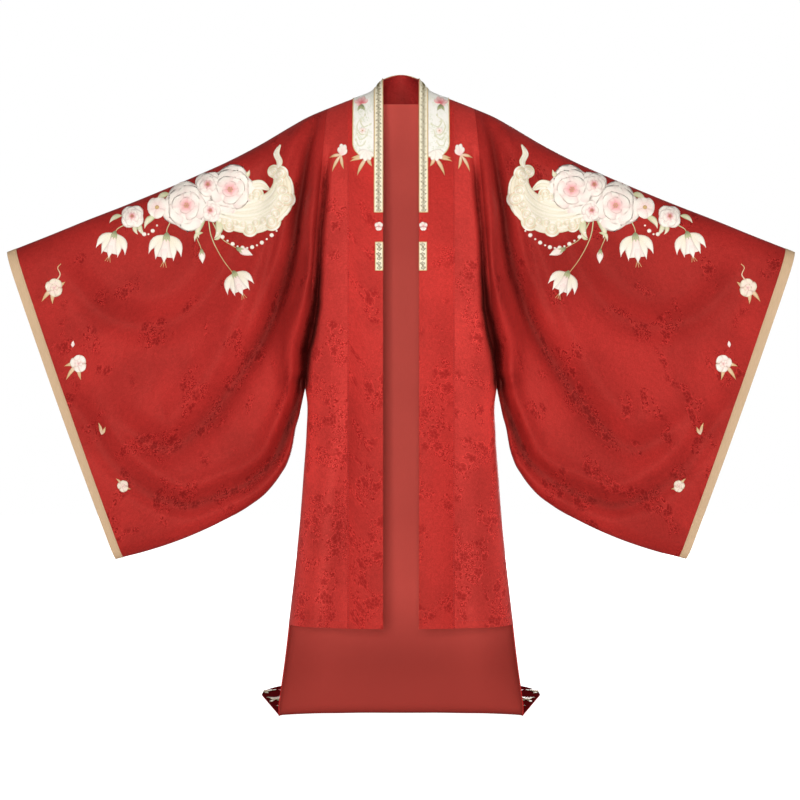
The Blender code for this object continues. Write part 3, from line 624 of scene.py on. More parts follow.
def damask_group():
    """Woven figures: clustered five-petalled blossoms among curling tendrils. Light is a
    painted highlight: a fine pale rim round the figures that stands in for their glints."""
    group, given, out = new_group(
        "damask", {"Cloth": (0.0,), "Bloom": 0.06, "Curl": 0.016, "Cover": 0.5},
        {"Figure": 0.0, "Light": 0.0})
    sway = arrows("SUBTRACT", noise(given["Cloth"], 14.0)["Color"], (0.5, 0.5, 0.5))[0]
    sway = node(group, "ShaderNodeVectorMath", {0: sway, "Scale": 0.03},
                operation="SCALE").outputs[0]
    place = arrows("ADD", given["Cloth"], sway)[0]
    far, angle, chance = cell_middles(place, given["Bloom"], 0.9)
    lobes = times(maths("MULTIPLY_ADD", chance, 6.3, angle), 2.5)
    lobes = maths("ABSOLUTE", maths("COSINE", lobes))
    inside = maths("SUBTRACT", maths("MULTIPLY_ADD", lobes, 0.10, 0.20), far)
    parting = maths("MAXIMUM", steps(lobes, 0.10, 0.30), steps(far, 0.10, 0.07))
    petals = times(steps(inside, 0.0, 0.025), steps(off(inside, 0.055), 0.008, 0.020),
                   steps(off(far, 0.075), 0.010, 0.022), parting)
    near, bearing, luck = cell_middles(place, given["Curl"], 0.75)
    wound = maths("MULTIPLY_ADD", bearing, 0.159, maths("MULTIPLY_ADD", near, 2.3, luck))
    ridge = off(maths("FRACT", wound), 0.5)
    fading = steps(near, 0.56, 0.46)
    about = times(steps(far, 0.80, 0.62), steps(inside, 0.0, -0.04))
    patch = noise(given["Cloth"], 13.0, 1.0)[0]
    shown = maths("SUBTRACT", maths("ADD", patch, given["Cover"]), 1.0)
    shown = steps(shown, -0.06, 0.04)
    figure = maths("MAXIMUM", times(petals, 0.75), times(steps(ridge, 0.24, 0.14), fading, about))
    # painted highlight: a pale rim round each blossom and a pale line beside each tendril
    rim = times(steps(inside, -0.06, -0.035), steps(inside, 0.01, -0.01))
    light = maths("MAXIMUM", rim, times(steps(ridge, 0.26, 0.33), fading, about))
    fill(out, {"Figure": times(figure, shown), "Light": times(light, shown)})
    return group


def weave_group():
    """Threads crossing at a given pitch: their height, and a slow unevenness of the cloth."""
    group, given, out = new_group(
        "weave", {"Cloth": (0.0,), "Pitch": 0.0006}, {"Threads": 0.0, "Slub": 0.0})
    rounds = maths("DIVIDE", 6.2832, given["Pitch"])  # a whole turn of the wave per thread
    warp, weft = (maths("SINE", times(way, rounds)) for way in parts(given["Cloth"])[:2])
    stretched = arrows("MULTIPLY", given["Cloth"], (900.0, 60.0, 1.0))[0]
    fill(out, {"Threads": maths("MULTIPLY_ADD", times(warp, weft), 0.5, 0.5),
               "Slub": noise(stretched, 1.0)[0]})
    return group


damask, weave = damask_group(), weave_group()


def cloth_material(name, pitch):
    """A new material, with the place on its cloth and the threads there."""
    finish, shader, tree = new_material(name)
    cloth = node(tree, "ShaderNodeUVMap", uv_map="cloth").outputs[0]
    return finish, shader, cloth, grouped(tree, weave, {"Cloth": cloth, "Pitch": pitch})


def finished(shader, tone, roughness, relief, strength=0.8, distance=1.0, others=()):
    """Sets a material's colour, its roughness, its relief and its other values."""
    fill(shader, {"Base Color": tone, "Roughness": roughness, **dict(others)})
    if relief is not None:
        bump = node(shader.id_data, "ShaderNodeBump", {
            "Height": relief, "Strength": strength, "Distance": distance})
        fill(shader, {"Normal": bump.outputs[0]})


# Heights between which the silk changes: how much the figures cover, and its painted light
# and shade at its foot, at its shoulders and where the skirt turns to the side.
COVER_SPAN, FOOT_SPAN = (-0.30, -0.85), (-0.55, -1.20)
TOP_SPAN, SIDE_SPAN = (-0.42, -0.56), (-0.60, -0.76)
HOLLOW_LIGHT = 0.14  # the share of the colour left deep in a fold: painted shade
SILK_PITCH = 0.0007  # of its threads, in metres
BLOOM, CURL = 0.046, 0.0105  # the size of the damask's blossoms and of its tendrils


def silk_finish(name, ground, figure, depth, cover, low=1.0, top=1.0, side=1.0):
    """Figured silk: a satin ground with the figures woven the other way, darker and
    rougher, threads fine enough to feel, and painted shade deep in its folds, where more of
    the dark figures gather too. Pale rims along the figures are painted highlights. cover is
    how much of it the figures take above and below. low, top and side are painted light and
    shade: how bright it is painted at the robe's foot, at the shoulders and where the skirt
    turns to the side."""
    finish, shader, cloth, threads = cloth_material(name, SILK_PITCH)
    tree = shader.id_data
    hollow = node(tree, "ShaderNodeAttribute", attribute_name="hollow").outputs["Fac"]
    place = node(tree, "ShaderNodeTexCoord").outputs
    height = parts(place["Object"])[2]
    # painted light: brighter where the cloth turns to the side, standing in for its sheen there
    painted_side_light = steps(maths("ABSOLUTE", parts(place["Normal"])[1]), 0.50, 0.92, side, 1.0)
    # painted shade too: more of the dark figures deep in the folds
    lower = maths("MULTIPLY_ADD", hollow, 0.45, steps(height, *COVER_SPAN, *cover))
    woven = grouped(tree, damask, {"Cloth": cloth, "Bloom": BLOOM, "Curl": CURL, "Cover": lower})
    tone, ground = ground, np.array(ground)
    # a random cloud of darker ground, the painted highlights, the figures and the slubs
    for share, colour in ((steps(noise(cloth, 6.0, 3.0)[0], 0.32, 0.70), ground * 0.80),
                          (times(woven["Light"], 0.5), ground * 1.45),
                          (times(woven["Figure"], depth), figure),
                          (times(threads["Slub"], 0.12), ground * 0.5)):
        tone = mixed(share, tone, colour)
    grain = noise(cloth, 190.0, 1.0, 1.2)[0]
    # painted shade and light: darker at the foot and deep in the folds, lighter or darker at the
    # shoulders, lighter where the skirt turns aside; the fine grain is the cloth's own
    painted_light_shade_and_grain = times(steps(height, *FOOT_SPAN, 1.0, low), steps(hollow, 0, 1, 1.0, HOLLOW_LIGHT),
                   steps(grain, 0.25, 0.75, 0.86, 1.10), steps(height, *TOP_SPAN, top, 1.0),
                   steps(height, *SIDE_SPAN, 1.0, painted_side_light))
    relief = maths("ADD", times(woven["Figure"], 0.00012), times(threads["Threads"], 0.00003))
    relief = maths("MULTIPLY_ADD", noise(cloth, 17.0, 2.0, 0.4)[0], 0.0022, relief)
    finished(shader, mixed(1.0, tone, painted_light_shade_and_grain, "MULTIPLY"),
             steps(woven["Figure"], 0, 1, 0.44, 0.60), relief, others={
                 "Sheen Weight": 0.05, "Sheen Roughness": 0.4, "Sheen Tint": (1.0, 0.20, 0.15, 1),
                 "Specular IOR Level": 0.16, "Specular Tint": (1.0, 0.26, 0.20, 1)})
    return finish


def plain_finish(name, pitch, light, dark, roughness, relief=(), specular=0.5):
    """Plain cloth with slubs, its threads in relief by a strength and a height in metres."""
    finish, shader, cloth, threads = cloth_material(name, pitch)
    finished(shader, mixed(threads["Slub"], light, dark), roughness,
             threads["Threads"] if relief else None, *relief,
             others={"Specular IOR Level": specular})
    return finish


DEEPEST = 0.052  # a fold this deep gets the darkest painted shade


def mark_hollows(piece, front_folds, back_folds):
    """Keeps with each point how deep it lies in a fold, from 0 to 1, for the painted shade in
    the silk's folds.
    """
    places = np.empty(len(piece.data.vertices) * 3)
    piece.data.vertices.foreach_get("co", places)
    out, back, height = places.reshape(-1, 3).T
    deep = np.where(back < 0, fold_depth(front_folds, np.abs(out), height),
                    fold_depth(back_folds, np.abs(out), height))
    layer = piece.data.attributes.new("hollow", "FLOAT", "POINT")
    layer.data.foreach_set("value", ease((np.maximum(deep, 0) / DEEPEST) ** 0.8).astype(np.float32))


front_silk = silk_finish("front_silk", (0.55, 0.0405, 0.0335), (0.25, 0.007, 0.008), 0.75,
                         (0.35, 0.51), 0.88, 0.90, 1.5)
silk_inside = silk_finish("silk_inside", (0.325, 0.020, 0.018), (0.26, 0.010, 0.012), 0.4,
                          (0.42, 0.62))
fronts, front_grids = {}, {}
for side, mirrored, folds in (("left", False, LEFT_FOLDS), ("right", True, RIGHT_FOLDS)):
    outer = body_points("front_depth", folds,
                        lambda seam_out: across(BAND_SEAM + SEAM_GAP / 2, seam_out), FRONT_HEM)
    outer = outer - [0, SEAM_GAP / 2, 0]
    normal = outward(outer, cuts=((0, ALL, (0, 1, 0)), (ALL, 0, (1, 0, 0)), *seam_cuts(-1)))
    front_grids[side] = outer, normal
    front = wall(f"front_{side}_silk", outer, outer - CLOTH * normal, [front_silk, silk_inside],
                 mirrored=mirrored, turn=(0.31 * mirrored, 0.17 * mirrored))
    fronts[side] = front
    mark_hollows(front, folds, folds)
    wear(front, "silk", f"front_{side}", flat=(0.21, 1.40), held="hung", area=0.21 * 1.40 * 0.62,
         rests_on=["back_left", "back_right", "collar_band"])

# --- The collar band ----------------------------------------------------------------
# One long band of the same silk, doubled, that runs up one front edge, round the neck
# and down the other. The fronts and the back are sewn to its outer edge.

SHOULDER_ROW = len(BODY_SHARES) + len(SKIRT_SHARES) - 1
NAPE_ROW = SHOULDER_ROW + NECK_TURNS


def band_points(folds):
    """Half the band's outer points, from the front hem up over the shoulder to the nape."""
    out = BAND_COLUMNS - [*[0] * (len(BAND_COLUMNS) - 1), SEAM_GAP]
    front = body_points("front_depth", folds, lambda seam_out: out, FRONT_HEM)
    over = (out - OPENING_HALF) / (BAND_SEAM - OPENING_HALF)
    back = NECK_TOP[0] + over * (NECK_SEAM[0] - NECK_TOP[0])
    height = NECK_TOP[1] + over * (NECK_SEAM[1] - NECK_TOP[1])
    turned = []
    for angle in np.linspace(0, np.pi / 2, NECK_TURNS + 1)[1:]:
        up = top_height(out) * np.cos(angle) ** 2 + height * np.sin(angle) ** 2
        turned.append(np.stack([out * np.cos(angle), back * np.sin(angle), up], axis=-1))
    return np.concatenate([front[::-1], turned])


band_silk = silk_finish("band_silk", (0.465, 0.0285, 0.0235), (0.23, 0.006, 0.007), 0.75,
                        (0.35, 0.51), 0.92, 1.10)
band = band_points(LEFT_FOLDS)
band = np.concatenate([band, band_points(RIGHT_FOLDS)[-2::-1] * [-1, 1, 1]])
cut_rows = np.r_[0 : SHOULDER_ROW + 1, -SHOULDER_ROW - 1 : 0]
band_normal = outward(band, turned=True, cuts=((cut_rows, -1, (1, 0, 0)),))
collar = wall("collar_band_silk", band, band - CLOTH * band_normal, [band_silk, silk_inside])
wear(collar, "silk", "collar_band", flat=(0.087, 2.95), held="hung",
     rests_on=["back_left", "back_right"])

# --- The back and its train ---------------------------------------------------------
# Two lengths of the silk joined down the middle seam, hung from the neck and the shoulders.
# Behind the wearer's heels the back turns along the floor in a short, wide train.

FLOOR_LEVEL = -1.5250
TRAIN_BEND = 0.0300  # radius of the turn from the hanging back to its train
TRAIN_TIP = (0.372, 0.480)  # the train's outline on the floor: distance out, distance back
TRAIN_END = 0.780
TRAIN_RIPPLE = 0.007
NECK_CORNER = 0.022  # radius of the turn below each corner of the neck
BEND_STEPS, TRAIN_STEPS = 10, 44


def back_points():
    """Half the back: down to the floor, round the bend, and out along the train."""
    neck = BAND_SEAM * np.sin(np.linspace(0, np.pi / 2, NECK_TURNS + 1)[:-1])

    def columns(seam_out):
        return np.concatenate([neck, across(BAND_SEAM + SEAM_GAP, seam_out)])

    hanging = body_points("back_depth", BACK_FOLDS, columns, FLOOR_LEVEL + TRAIN_BEND)
    hanging = hanging + [0, SEAM_GAP / 2, 0]
    foot = hanging[-1]
    sole = CLOTH + SEAM_GAP + LINING  # what lies between the floor and the outer points
    rows = [hanging[:-1]]
    for angle in np.linspace(0, np.pi / 2, BEND_STEPS + 1):
        bend = foot.copy()
        bend[:, 1] += TRAIN_BEND * (1 - np.cos(angle))
        bend[:, 2] = FLOOR_LEVEL + sole + (TRAIN_BEND - sole) * (1 - np.sin(angle))
        rows.append(bend[None])
    start = rows[-1][0]
    share = start[:, 0] / start[-1, 0]
    end_out = TRAIN_TIP[0] * np.sin(share * np.pi / 2)
    end_back = TRAIN_TIP[1] + (TRAIN_END - TRAIN_TIP[1]) * np.cos(share * np.pi / 2) ** 0.8
    for step in range(1, TRAIN_STEPS + 1):
        way = step / TRAIN_STEPS
        row = start.copy()
        row[:, 0] = start[:, 0] + way * (end_out - start[:, 0])
        row[:, 1] = start[:, 1] + way * (end_back - start[:, 1])
        ripple = np.sin(3.2 * np.pi * share + 1.2) * np.sin(np.pi * way) ** 2
        row[:, 2] += TRAIN_RIPPLE * (1 + ripple) * np.sin(np.pi * way) * (1 - share**6)
        rows.append(row[None])
    return np.concatenate(rows)


def round_neck_corner(points):
    """Rounds the turn from the nape over to the shoulder, below the corner of the neck."""
    for row in points[1:]:
        drop = points[0, NECK_TURNS, 2] - row[NECK_TURNS, 2]
        turn = NECK_CORNER * np.clip(drop / NECK_CORNER, 0, 1) * np.linspace(-1, 1, 9)[:, None]
        rounded = np.interp(row[:, 0] + turn, row[:, 0], row[:, 1]).mean(axis=0)
        near = np.clip(1 - ((row[:, 0] - BAND_SEAM) / (2 * NECK_CORNER)) ** 2, 0, 1) ** 2
        row[:, 1] += near * (rounded - row[:, 1])


back_silk = silk_finish("back_silk", (0.50, 0.022, 0.021), (0.31, 0.010, 0.013), 0.75,
                        (0.44, 0.62), side=1.5)
half = back_points()
round_neck_corner(half)
back = np.concatenate([half[:, :0:-1] * [-1, 1, 1], half], axis=1)
middle = back.shape[1] // 2
corners = [middle - NECK_TURNS, middle + NECK_TURNS]
shoulders = np.r_[0 : middle - NECK_TURNS + 1, middle + NECK_TURNS : back.shape[1]]
back_normal = outward(back, turned=True, cuts=(
    (0, shoulders, (0, 1, 0)), (0, corners, (1, 0, 0)), *seam_cuts(-1),
    *seam_cuts(0, mirrored=True)))
for side, columns in (("left", slice(middle, None)), ("right", slice(0, middle + 1))):
    half_back = wall(f"back_{side}_silk", back[:, columns],
                     (back - CLOTH * back_normal)[:, columns], [back_silk, silk_inside],
                     level=len(BODY_SHARES))
    mark_hollows(half_back, BACK_FOLDS, BACK_FOLDS)
    wear(half_back, "silk", f"back_{side}", flat=(0.40, 2.32), held="hung",
         area=0.40 * 2.32 * 0.68)

# --- The back's lining --------------------------------------------------------------
# Plain matt cloth, brownish red, caught to the inside of the back from just below the
# neck down to the floor.

FLOOR_SHADE = (-1.18, -1.42)  # heights between which painted shade darkens it towards the floor


def lining_finish():
    """Plain tabby cloth, dull, with the faint slack of a lining, and painted shade that darkens
    it by the floor.
    """
    finish, shader, cloth, threads = cloth_material("lining_cloth", 0.0009)
    height = parts(node(shader.id_data, "ShaderNodeTexCoord").outputs["Object"])[2]
    tone = mixed(steps(noise(cloth, 3.0)[0], 0.3, 0.7), (0.72, 0.104, 0.080), (0.655, 0.090, 0.070))
    tone = mixed(times(threads["Slub"], 0.25), tone, (0.48, 0.062, 0.05))
    # painted shade towards the floor
    tone = mixed(steps(height, *FLOOR_SHADE), tone, (0.335, 0.038, 0.028))
    finished(shader, tone, 0.85, threads["Threads"], 0.5, 0.0001, {"Specular IOR Level": 0.15})
    return finish


lining_cloth = lining_finish()
rows = slice(0, len(BODY_SHARES) + len(SKIRT_SHARES) + BEND_STEPS + 2, 2)
laid_in = (back - (CLOTH + SEAM_GAP) * back_normal)[rows, ::2]
lining = wall("lining_cloth", laid_in, laid_in - LINING * back_normal[rows, ::2],
              [lining_cloth, lining_cloth])
wear(lining, "lining", "back_lining", flat=(0.78, 1.56), held="hung", area=0.78 * 1.56 * 0.71,
     rests_on=["back_left_silk", "back_right_silk"])

# --- The sleeves --------------------------------------------------------------------
# Wide sleeves in the same silk, each one folded length. They hang from the arm in long
# swags, from the shoulder and the underarm out towards the cuff's lower corner.

CUFF_SHARE = 0.0285  # of the sleeve's length, taken by the cuff ribbon
SLEEVE_SHARES = 0.5 - 0.5 * np.cos(np.linspace(0, np.pi, 131))
SLEEVE_STATIONS = (1 - CUFF_SHARE) * np.linspace(0, 1, 111) ** 1.25


def sleeve_points(stations):
    """Outer points of a sleeve: rings from the armhole out, each down the front and up
    the back."""
    top = outline(TOP_LINE, SHOULDER_POINT, stations)
    foot = outline(SLEEVE_FOOT, UNDERARM[0], stations)
    station, share = np.meshgrid(np.array(stations), SLEEVE_SHARES)
    out = np.array(top[0]) + share * (np.array(foot[0]) - np.array(top[0]))
    height = np.array(top[1]) + share * (np.array(foot[1]) - np.array(top[1]))
    out = out + CUFF_BOW * np.sin(np.pi * share) * station**2
    front = sleeve_depth(station, share, out, height, "front_depth", FRONT_FOLDS)
    back = sleeve_depth(station, share, out, height, "back_depth", BACK_FOLDS)
    front_half = np.stack([out, -front, height], axis=-1)
    back_half = np.stack([out, back, height], axis=-1)
    return np.concatenate([front_half, back_half[-2:0:-1]])


# The sleeves are cut from the fronts' silk; their darker ground is painted shade, where the sleeves
# hang turned from the light.
sleeve_silk = silk_finish("sleeve_silk", (0.40, 0.0235, 0.0198), (0.16, 0.003, 0.004), 0.8,
                          (0.30, 0.39), 0.93, 0.86)
outer = sleeve_points(SLEEVE_STATIONS)
outer[:, 0, 0] += SEAM_GAP / 2
sleeve_normal = outward(outer, ring=True, cuts=tuple(
    (ALL, end, ring_across(SLEEVE_STATIONS[end])) for end in (0, -1)))
sleeves = {}
for side, mirrored in SIDES:
    sleeves[side] = wall(f"sleeve_{side}_silk", outer, outer - CLOTH * sleeve_normal,
                         [sleeve_silk, silk_inside], ring=True, mirrored=mirrored,
                         turn=(0.43 * mirrored, 0.29 * mirrored))
    mark_hollows(sleeves[side], FRONT_FOLDS, BACK_FOLDS)
    wear(sleeves[side], "silk", f"sleeve_{side}", flat=(0.82, 1.60), held="hung",
         rests_on=[f"front_{side}_silk", f"back_{side}_silk"], area=0.82 * 1.60 * 0.9)

# --- The gold cuff ribbons ----------------------------------------------------------
# A tan-gold ribbon bound round each sleeve's end.

CUFF_START = 1 - CUFF_SHARE + 0.0004  # share of the sleeve at which the ribbon starts
CUFF_PROUD = 0.0005  # how far it stands off the silk
cuff_stations = np.linspace(CUFF_START, 1.0, 7)

gold_ribbon = plain_finish("gold_ribbon", 0.0011, (0.63, 0.435, 0.262), (0.48, 0.315, 0.175),
                           0.55, (0.7, 0.0003))
outer = sleeve_points(cuff_stations)
normal = outward(outer, ring=True, cuts=tuple(
    (ALL, end, ring_across(cuff_stations[end])) for end in (0, -1)))
for side, mirrored in SIDES:
    cuff = wall(f"cuff_{side}_ribbon", outer + CUFF_PROUD * normal, outer - CLOTH * normal,
                [gold_ribbon, gold_ribbon], ring=True, mirrored=mirrored)
    wear(cuff, "gold", f"cuff_{side}", flat=(0.025, 1.58), held="stretched",
         rests_on=[f"sleeve_{side}_silk"])

# --- The cream collar piece ---------------------------------------------------------
# A shaped piece of cream satin laid over the red band, round the neck and down each side
# to a rounded foot, and bound along its edge with a fine gold cord.

TRIM_EDGE = 0.0647  # the scrolled trim reaches out to here
OVERLAY_EDGE = 0.1155
OVERLAY_FOOT = -0.153
OVERLAY_CORNER = 0.036
LAID_GAP = 0.0007  # clearance under a laid piece
LAID = 0.0010  # its thickness
WHOLE_BAND = 2 * NAPE_ROW


def at_cells(grid, row, column):
    """What a grid holds between its own points, by row and column with fractions."""
    row, column = np.broadcast_arrays(np.asarray(row, float), np.asarray(column, float))
    i = np.clip(row.astype(int), 0, grid.shape[0] - 2)
    j = np.clip(column.astype(int), 0, grid.shape[1] - 2)
    down, over = (row - i)[..., None], (column - j)[..., None]
    near = grid[i, j] * (1 - over) + grid[i, j + 1] * over
    return near * (1 - down) + (grid[i + 1, j] * (1 - over) + grid[i + 1, j + 1] * over) * down


def band_cell(out, height, mirrored=False):
    """The band's row and column, with fractions, at a place on its front."""
    start = top_height(np.asarray(out, float))
    share = (start - height) / (start - UNDERARM[1])
    row = SHOULDER_ROW - np.interp(share, BODY_SHARES, np.arange(len(BODY_SHARES)))
    return (WHOLE_BAND - row if mirrored else row,
            np.interp(out, BAND_COLUMNS, np.arange(len(BAND_COLUMNS))))


def off_band(row, column, lift=0.0):
    """Points this far off the band at its cells, and the directions away from it."""
    up = unit(at_cells(band_normal, row, column))
    return at_cells(band, row, column) + lift * up, up


def round_neck(out, heights):
    """Cells of a strip: up one front, round the neck, and down the other front. out and
    heights are grids with the foot first; the strip keeps its last row's columns."""
    row, column = band_cell(out, heights)
    neck = np.arange(SHOULDER_ROW, NAPE_ROW + 1)[:, None].astype(float)
    row = np.vstack([row, np.broadcast_to(neck, (len(neck), row.shape[1]))])
    column = np.vstack([column, np.broadcast_to(column[-1], (len(neck), row.shape[1]))])
    return np.vstack([row, WHOLE_BAND - row[-2::-1]]), np.vstack([column, column[-2::-1]])


def laid(name, cells, finish):
    """A thin piece that lies on the collar band, over a grid of the band's cells."""
    top, under = (off_band(*cells, lift)[0] for lift in (LAID_GAP + LAID, LAID_GAP))
    return wall(name, top, under, [finish, finish])


def tube(name, points, ups, radius, finish, sides=8):
    """A round cord along a line of points, closed at its ends."""
    along = unit(np.gradient(points, axis=0))
    beside = unit(np.cross(along, ups))
    over = np.cross(beside, along)
    turn = np.linspace(0, 2 * np.pi, sides, endpoint=False)[:, None]
    rings = points[:, None] + radius * (np.cos(turn) * beside[:, None]
                                        + np.sin(turn) * over[:, None])
    ring = np.arange(rings.shape[0] * sides).reshape(-1, sides)
    after, end = np.roll(ring, -1, 1), ring.size
    faces = np.stack([ring[:-1], after[:-1], after[1:], ring[1:]], -1).reshape(-1, 4).tolist()
    faces += [(end, b, a) for a, b in np.stack([ring[0], after[0]], -1).tolist()]
    faces += [(end + 1, a, b) for a, b in np.stack([ring[-1], after[-1]], -1).tolist()]
    verts = np.concatenate([rings.reshape(-1, 3), points[:1], points[-1:]])
    made = add_mesh(name, verts, faces, [finish])
    turned = bmesh.new()
    turned.from_mesh(made.data)
    bmesh.ops.recalc_face_normals(turned, faces=turned.faces)
    turned.to_mesh(made.data)
    turned.free()
    return made


def piping(name, cells, edges, radius):
    """A gold cord along a strip's edges, each given by the rows and columns it runs over."""
    row, column = (np.concatenate([grid[edge] for edge in edges]) for grid in cells)
    keep = np.r_[True, np.hypot(np.diff(row), np.diff(column)) > 0.02]
    points, ups = off_band(row[keep], column[keep], LAID_GAP + LAID)
    return sewn_on(tube(name, points, ups, radius, gold_cord))


def srgb(*colour):
    """A colour given as on a screen, 0 to 255, turned to light."""
    return tuple(((c / 255 + 0.055) / 1.055) ** 2.4 for c in colour)


def cream_finish():
    """Cream satin with a faint self-coloured scroll and a soft sheen."""
    finish, shader, cloth, threads = cloth_material("cream_satin", 0.0006)
    woven = grouped(shader.id_data, damask, {"Cloth": cloth, "Bloom": 0.030, "Curl": 0.0085,
                                             "Cover": 0.72})
    tone = mixed(threads["Slub"], srgb(242, 239, 234), srgb(232, 227, 213))
    tone = mixed(times(woven["Figure"], 0.55), tone, srgb(198, 205, 165))
    relief = maths("ADD", times(woven["Figure"], 0.0004), times(threads["Threads"], 0.00004))
    finished(shader, tone, 0.5, relief, others={"Sheen Weight": 0.15})
    return finish


def cord_finish(name, light, dark):
    """Twisted silk cord: slanting plies, with painted highlights on their crowns and painted
    shade between them.
    """
    finish, shader, tree = new_material(name)
    place = node(tree, "ShaderNodeTexCoord").outputs["Object"]
    plies = node(tree, "ShaderNodeTexWave", {"Vector": place, "Scale": 260.0, "Distortion": 0.6},
                 bands_direction="DIAGONAL").outputs[0]
    # painted highlights on the plies' crowns, painted shade between them
    finished(shader, mixed(plies, dark, light), 0.45, plies, 0.6, 0.0003)
    return finish


cream_satin = cream_finish()
gold_cord = cord_finish("gold_cord", srgb(232, 208, 158), srgb(196, 162, 108))
columns = np.linspace(TRIM_EDGE + 0.0006, OVERLAY_EDGE, 13)
rounds = np.radians(np.linspace(2, 88, 16))
edge = OVERLAY_EDGE - OVERLAY_CORNER * (1 - np.sin(rounds))
shrunk = (edge - columns[0]) / (OVERLAY_EDGE - columns[0])
out = columns[0] + (columns - columns[0]) * shrunk[:, None]
height = (OVERLAY_FOOT + OVERLAY_CORNER * (1 - np.cos(rounds)))[:, None] + 0 * out
up_front = np.linspace(OVERLAY_FOOT + OVERLAY_CORNER, 0, 34)[1:]
climb = (up_front - up_front[0]) / (0 - up_front[0])
up_height = up_front[0] + climb[:, None] * (top_height(columns) - up_front[0])
out = np.vstack([out, np.broadcast_to(columns, up_height.shape)])
height = np.vstack([height, up_height])[:-1]
cells = round_neck(out[:-1], height)
overlay = laid("collar_overlay_satin", cells, cream_satin)
wear(overlay, "cream", "collar_overlay", flat=(0.051, 0.62), held="laid",
     rests_on=["collar_band_silk"])
piping("collar_overlay_cord", cells, ((0, ALL), (ALL, -1), (-1, BACKWARD)), 0.0012)

# --- The scrolled trim and its two tabs ---------------------------------------------
# A narrow woven trim along the robe's edge, from the chest up round the neck, with a
# separate tab below on each side. Cream piping edges a line of olive-gold scrolls.

TRIM_FOOT = -0.286
STRIP_IN = 0.0008  # how far in from the band's edge the trim and the tabs start
TAB = (0.0607, -0.358, -0.425)  # its edge, its top and its foot
SCROLL_STEP = 0.0195


def set_out_tree():
    """Sets one small form at every point, turned to the point's own directions."""
    tree = bpy.data.node_groups.new("set_out", "GeometryNodeTree")
    for name, kind in (("Points", "Geometry"), ("Form", "Object"), ("Size", "Float"),
                       ("Finish", "Material")):
        tree.interface.new_socket(name=name, in_out="INPUT", socket_type="NodeSocket" + kind)
    tree.interface.new_socket(name="Made", in_out="OUTPUT", socket_type="NodeSocketGeometry")
    given = node(tree, "NodeGroupInput").outputs
    form = node(tree, "GeometryNodeObjectInfo", {"Object": given["Form"]}).outputs["Geometry"]
    up, along = (node(tree, "GeometryNodeInputNamedAttribute", {"Name": name},
                      data_type="FLOAT_VECTOR").outputs["Attribute"] for name in ("up", "along"))
    turn = node(tree, "FunctionNodeAxesToRotation", {0: up, 1: along}, primary_axis="Z",
                secondary_axis="X").outputs[0]
    placed = node(tree, "GeometryNodeInstanceOnPoints", {"Points": given["Points"],
                  "Instance": form, "Rotation": turn, "Scale": given["Size"]}).outputs[0]
    real = node(tree, "GeometryNodeRealizeInstances", {0: placed}).outputs[0]
    done = node(tree, "GeometryNodeSetMaterial", {"Geometry": real,
                "Material": given["Finish"]}).outputs[0]
    node(tree, "NodeGroupOutput", {0: done})
    return tree


set_out = set_out_tree()


def repeat(name, form, finish, size, places, ups, alongs):
    """Many of one small form in a single mesh, at the given places and directions."""
    mesh = bpy.data.meshes.new(name)
    mesh.from_pydata(np.asarray(places).tolist(), [], [])
    for key, values in (("up", ups), ("along", alongs)):
        layer = mesh.attributes.new(key, "FLOAT_VECTOR", "POINT")
        layer.data.foreach_set("vector", np.asarray(values, np.float32).ravel())
    holder = put(name + "_points", mesh)
    modifier = holder.modifiers.new("set_out", "NODES")
    modifier.node_group = set_out
    given = {"Form": form, "Size": size, "Finish": finish}
    for item in set_out.interface.items_tree:
        if item.in_out == "INPUT" and item.name in given:
            modifier[item.identifier] = given[item.name]
    evaluated = holder.evaluated_get(bpy.context.evaluated_depsgraph_get())
    made = put(name, bpy.data.meshes.new_from_object(evaluated))
    bpy.data.objects.remove(holder)
    made.data.shade_smooth()
    return made


def ribbon_form(name, lines, radius):
    """A small form of square threads along flat lines, with +Z away from the cloth."""
    join, mesh = bmesh.new(), bpy.data.meshes.new(name)
    for line in lines:
        points = np.column_stack([line, np.zeros(len(line))])
        part = tube(name, points, np.array([0, 0, 1.0]), radius, None, 4)
        join.from_mesh(part.data)
        bpy.data.objects.remove(part)
    join.to_mesh(mesh)
    join.free()
    return put(name, mesh)


def stations(line, ups, at):
    """Places this far along a line, with the directions off the cloth and along the line."""
    run = run_of(line)
    place, up, along = (np.column_stack([np.interp(at, run, each[:, k]) for k in range(3)])
                        for each in (line, ups, np.gradient(line, run, axis=0)))
    return place, unit(up), unit(along)


def curl(middle, radius, start, turns):
    """A flat spiral that winds in towards its middle."""
    way = np.linspace(0, 1, 11)
    angle = start + turns * 2 * np.pi * way
    reach = radius * (1 - 0.78 * way)
    return np.column_stack([middle[0] + reach * np.cos(angle), middle[1] + reach * np.sin(angle)])


way = np.linspace(-0.5, 0.5, 15)
scroll_form = ribbon_form("scroll_form", [
    np.column_stack([way, 0.21 * np.sin(2 * np.pi * way)]),
    curl((0.24, -0.12), 0.20, np.pi, -1.15), curl((-0.26, 0.12), 0.20, 0.0, -1.15),
    np.array([(0.20, 0.20), (0.27, 0.30), (0.37, 0.32)]),
    np.array([(-0.30, -0.20), (-0.23, -0.30), (-0.13, -0.32)]),
], 0.040)
olive_thread = cord_finish("olive_thread", srgb(136, 122, 78), srgb(92, 82, 50))


trim_ground = plain_finish("trim_ground", 0.0008, srgb(240, 233, 212), srgb(226, 214, 182),
                           0.6, (0.6, 0.0002))


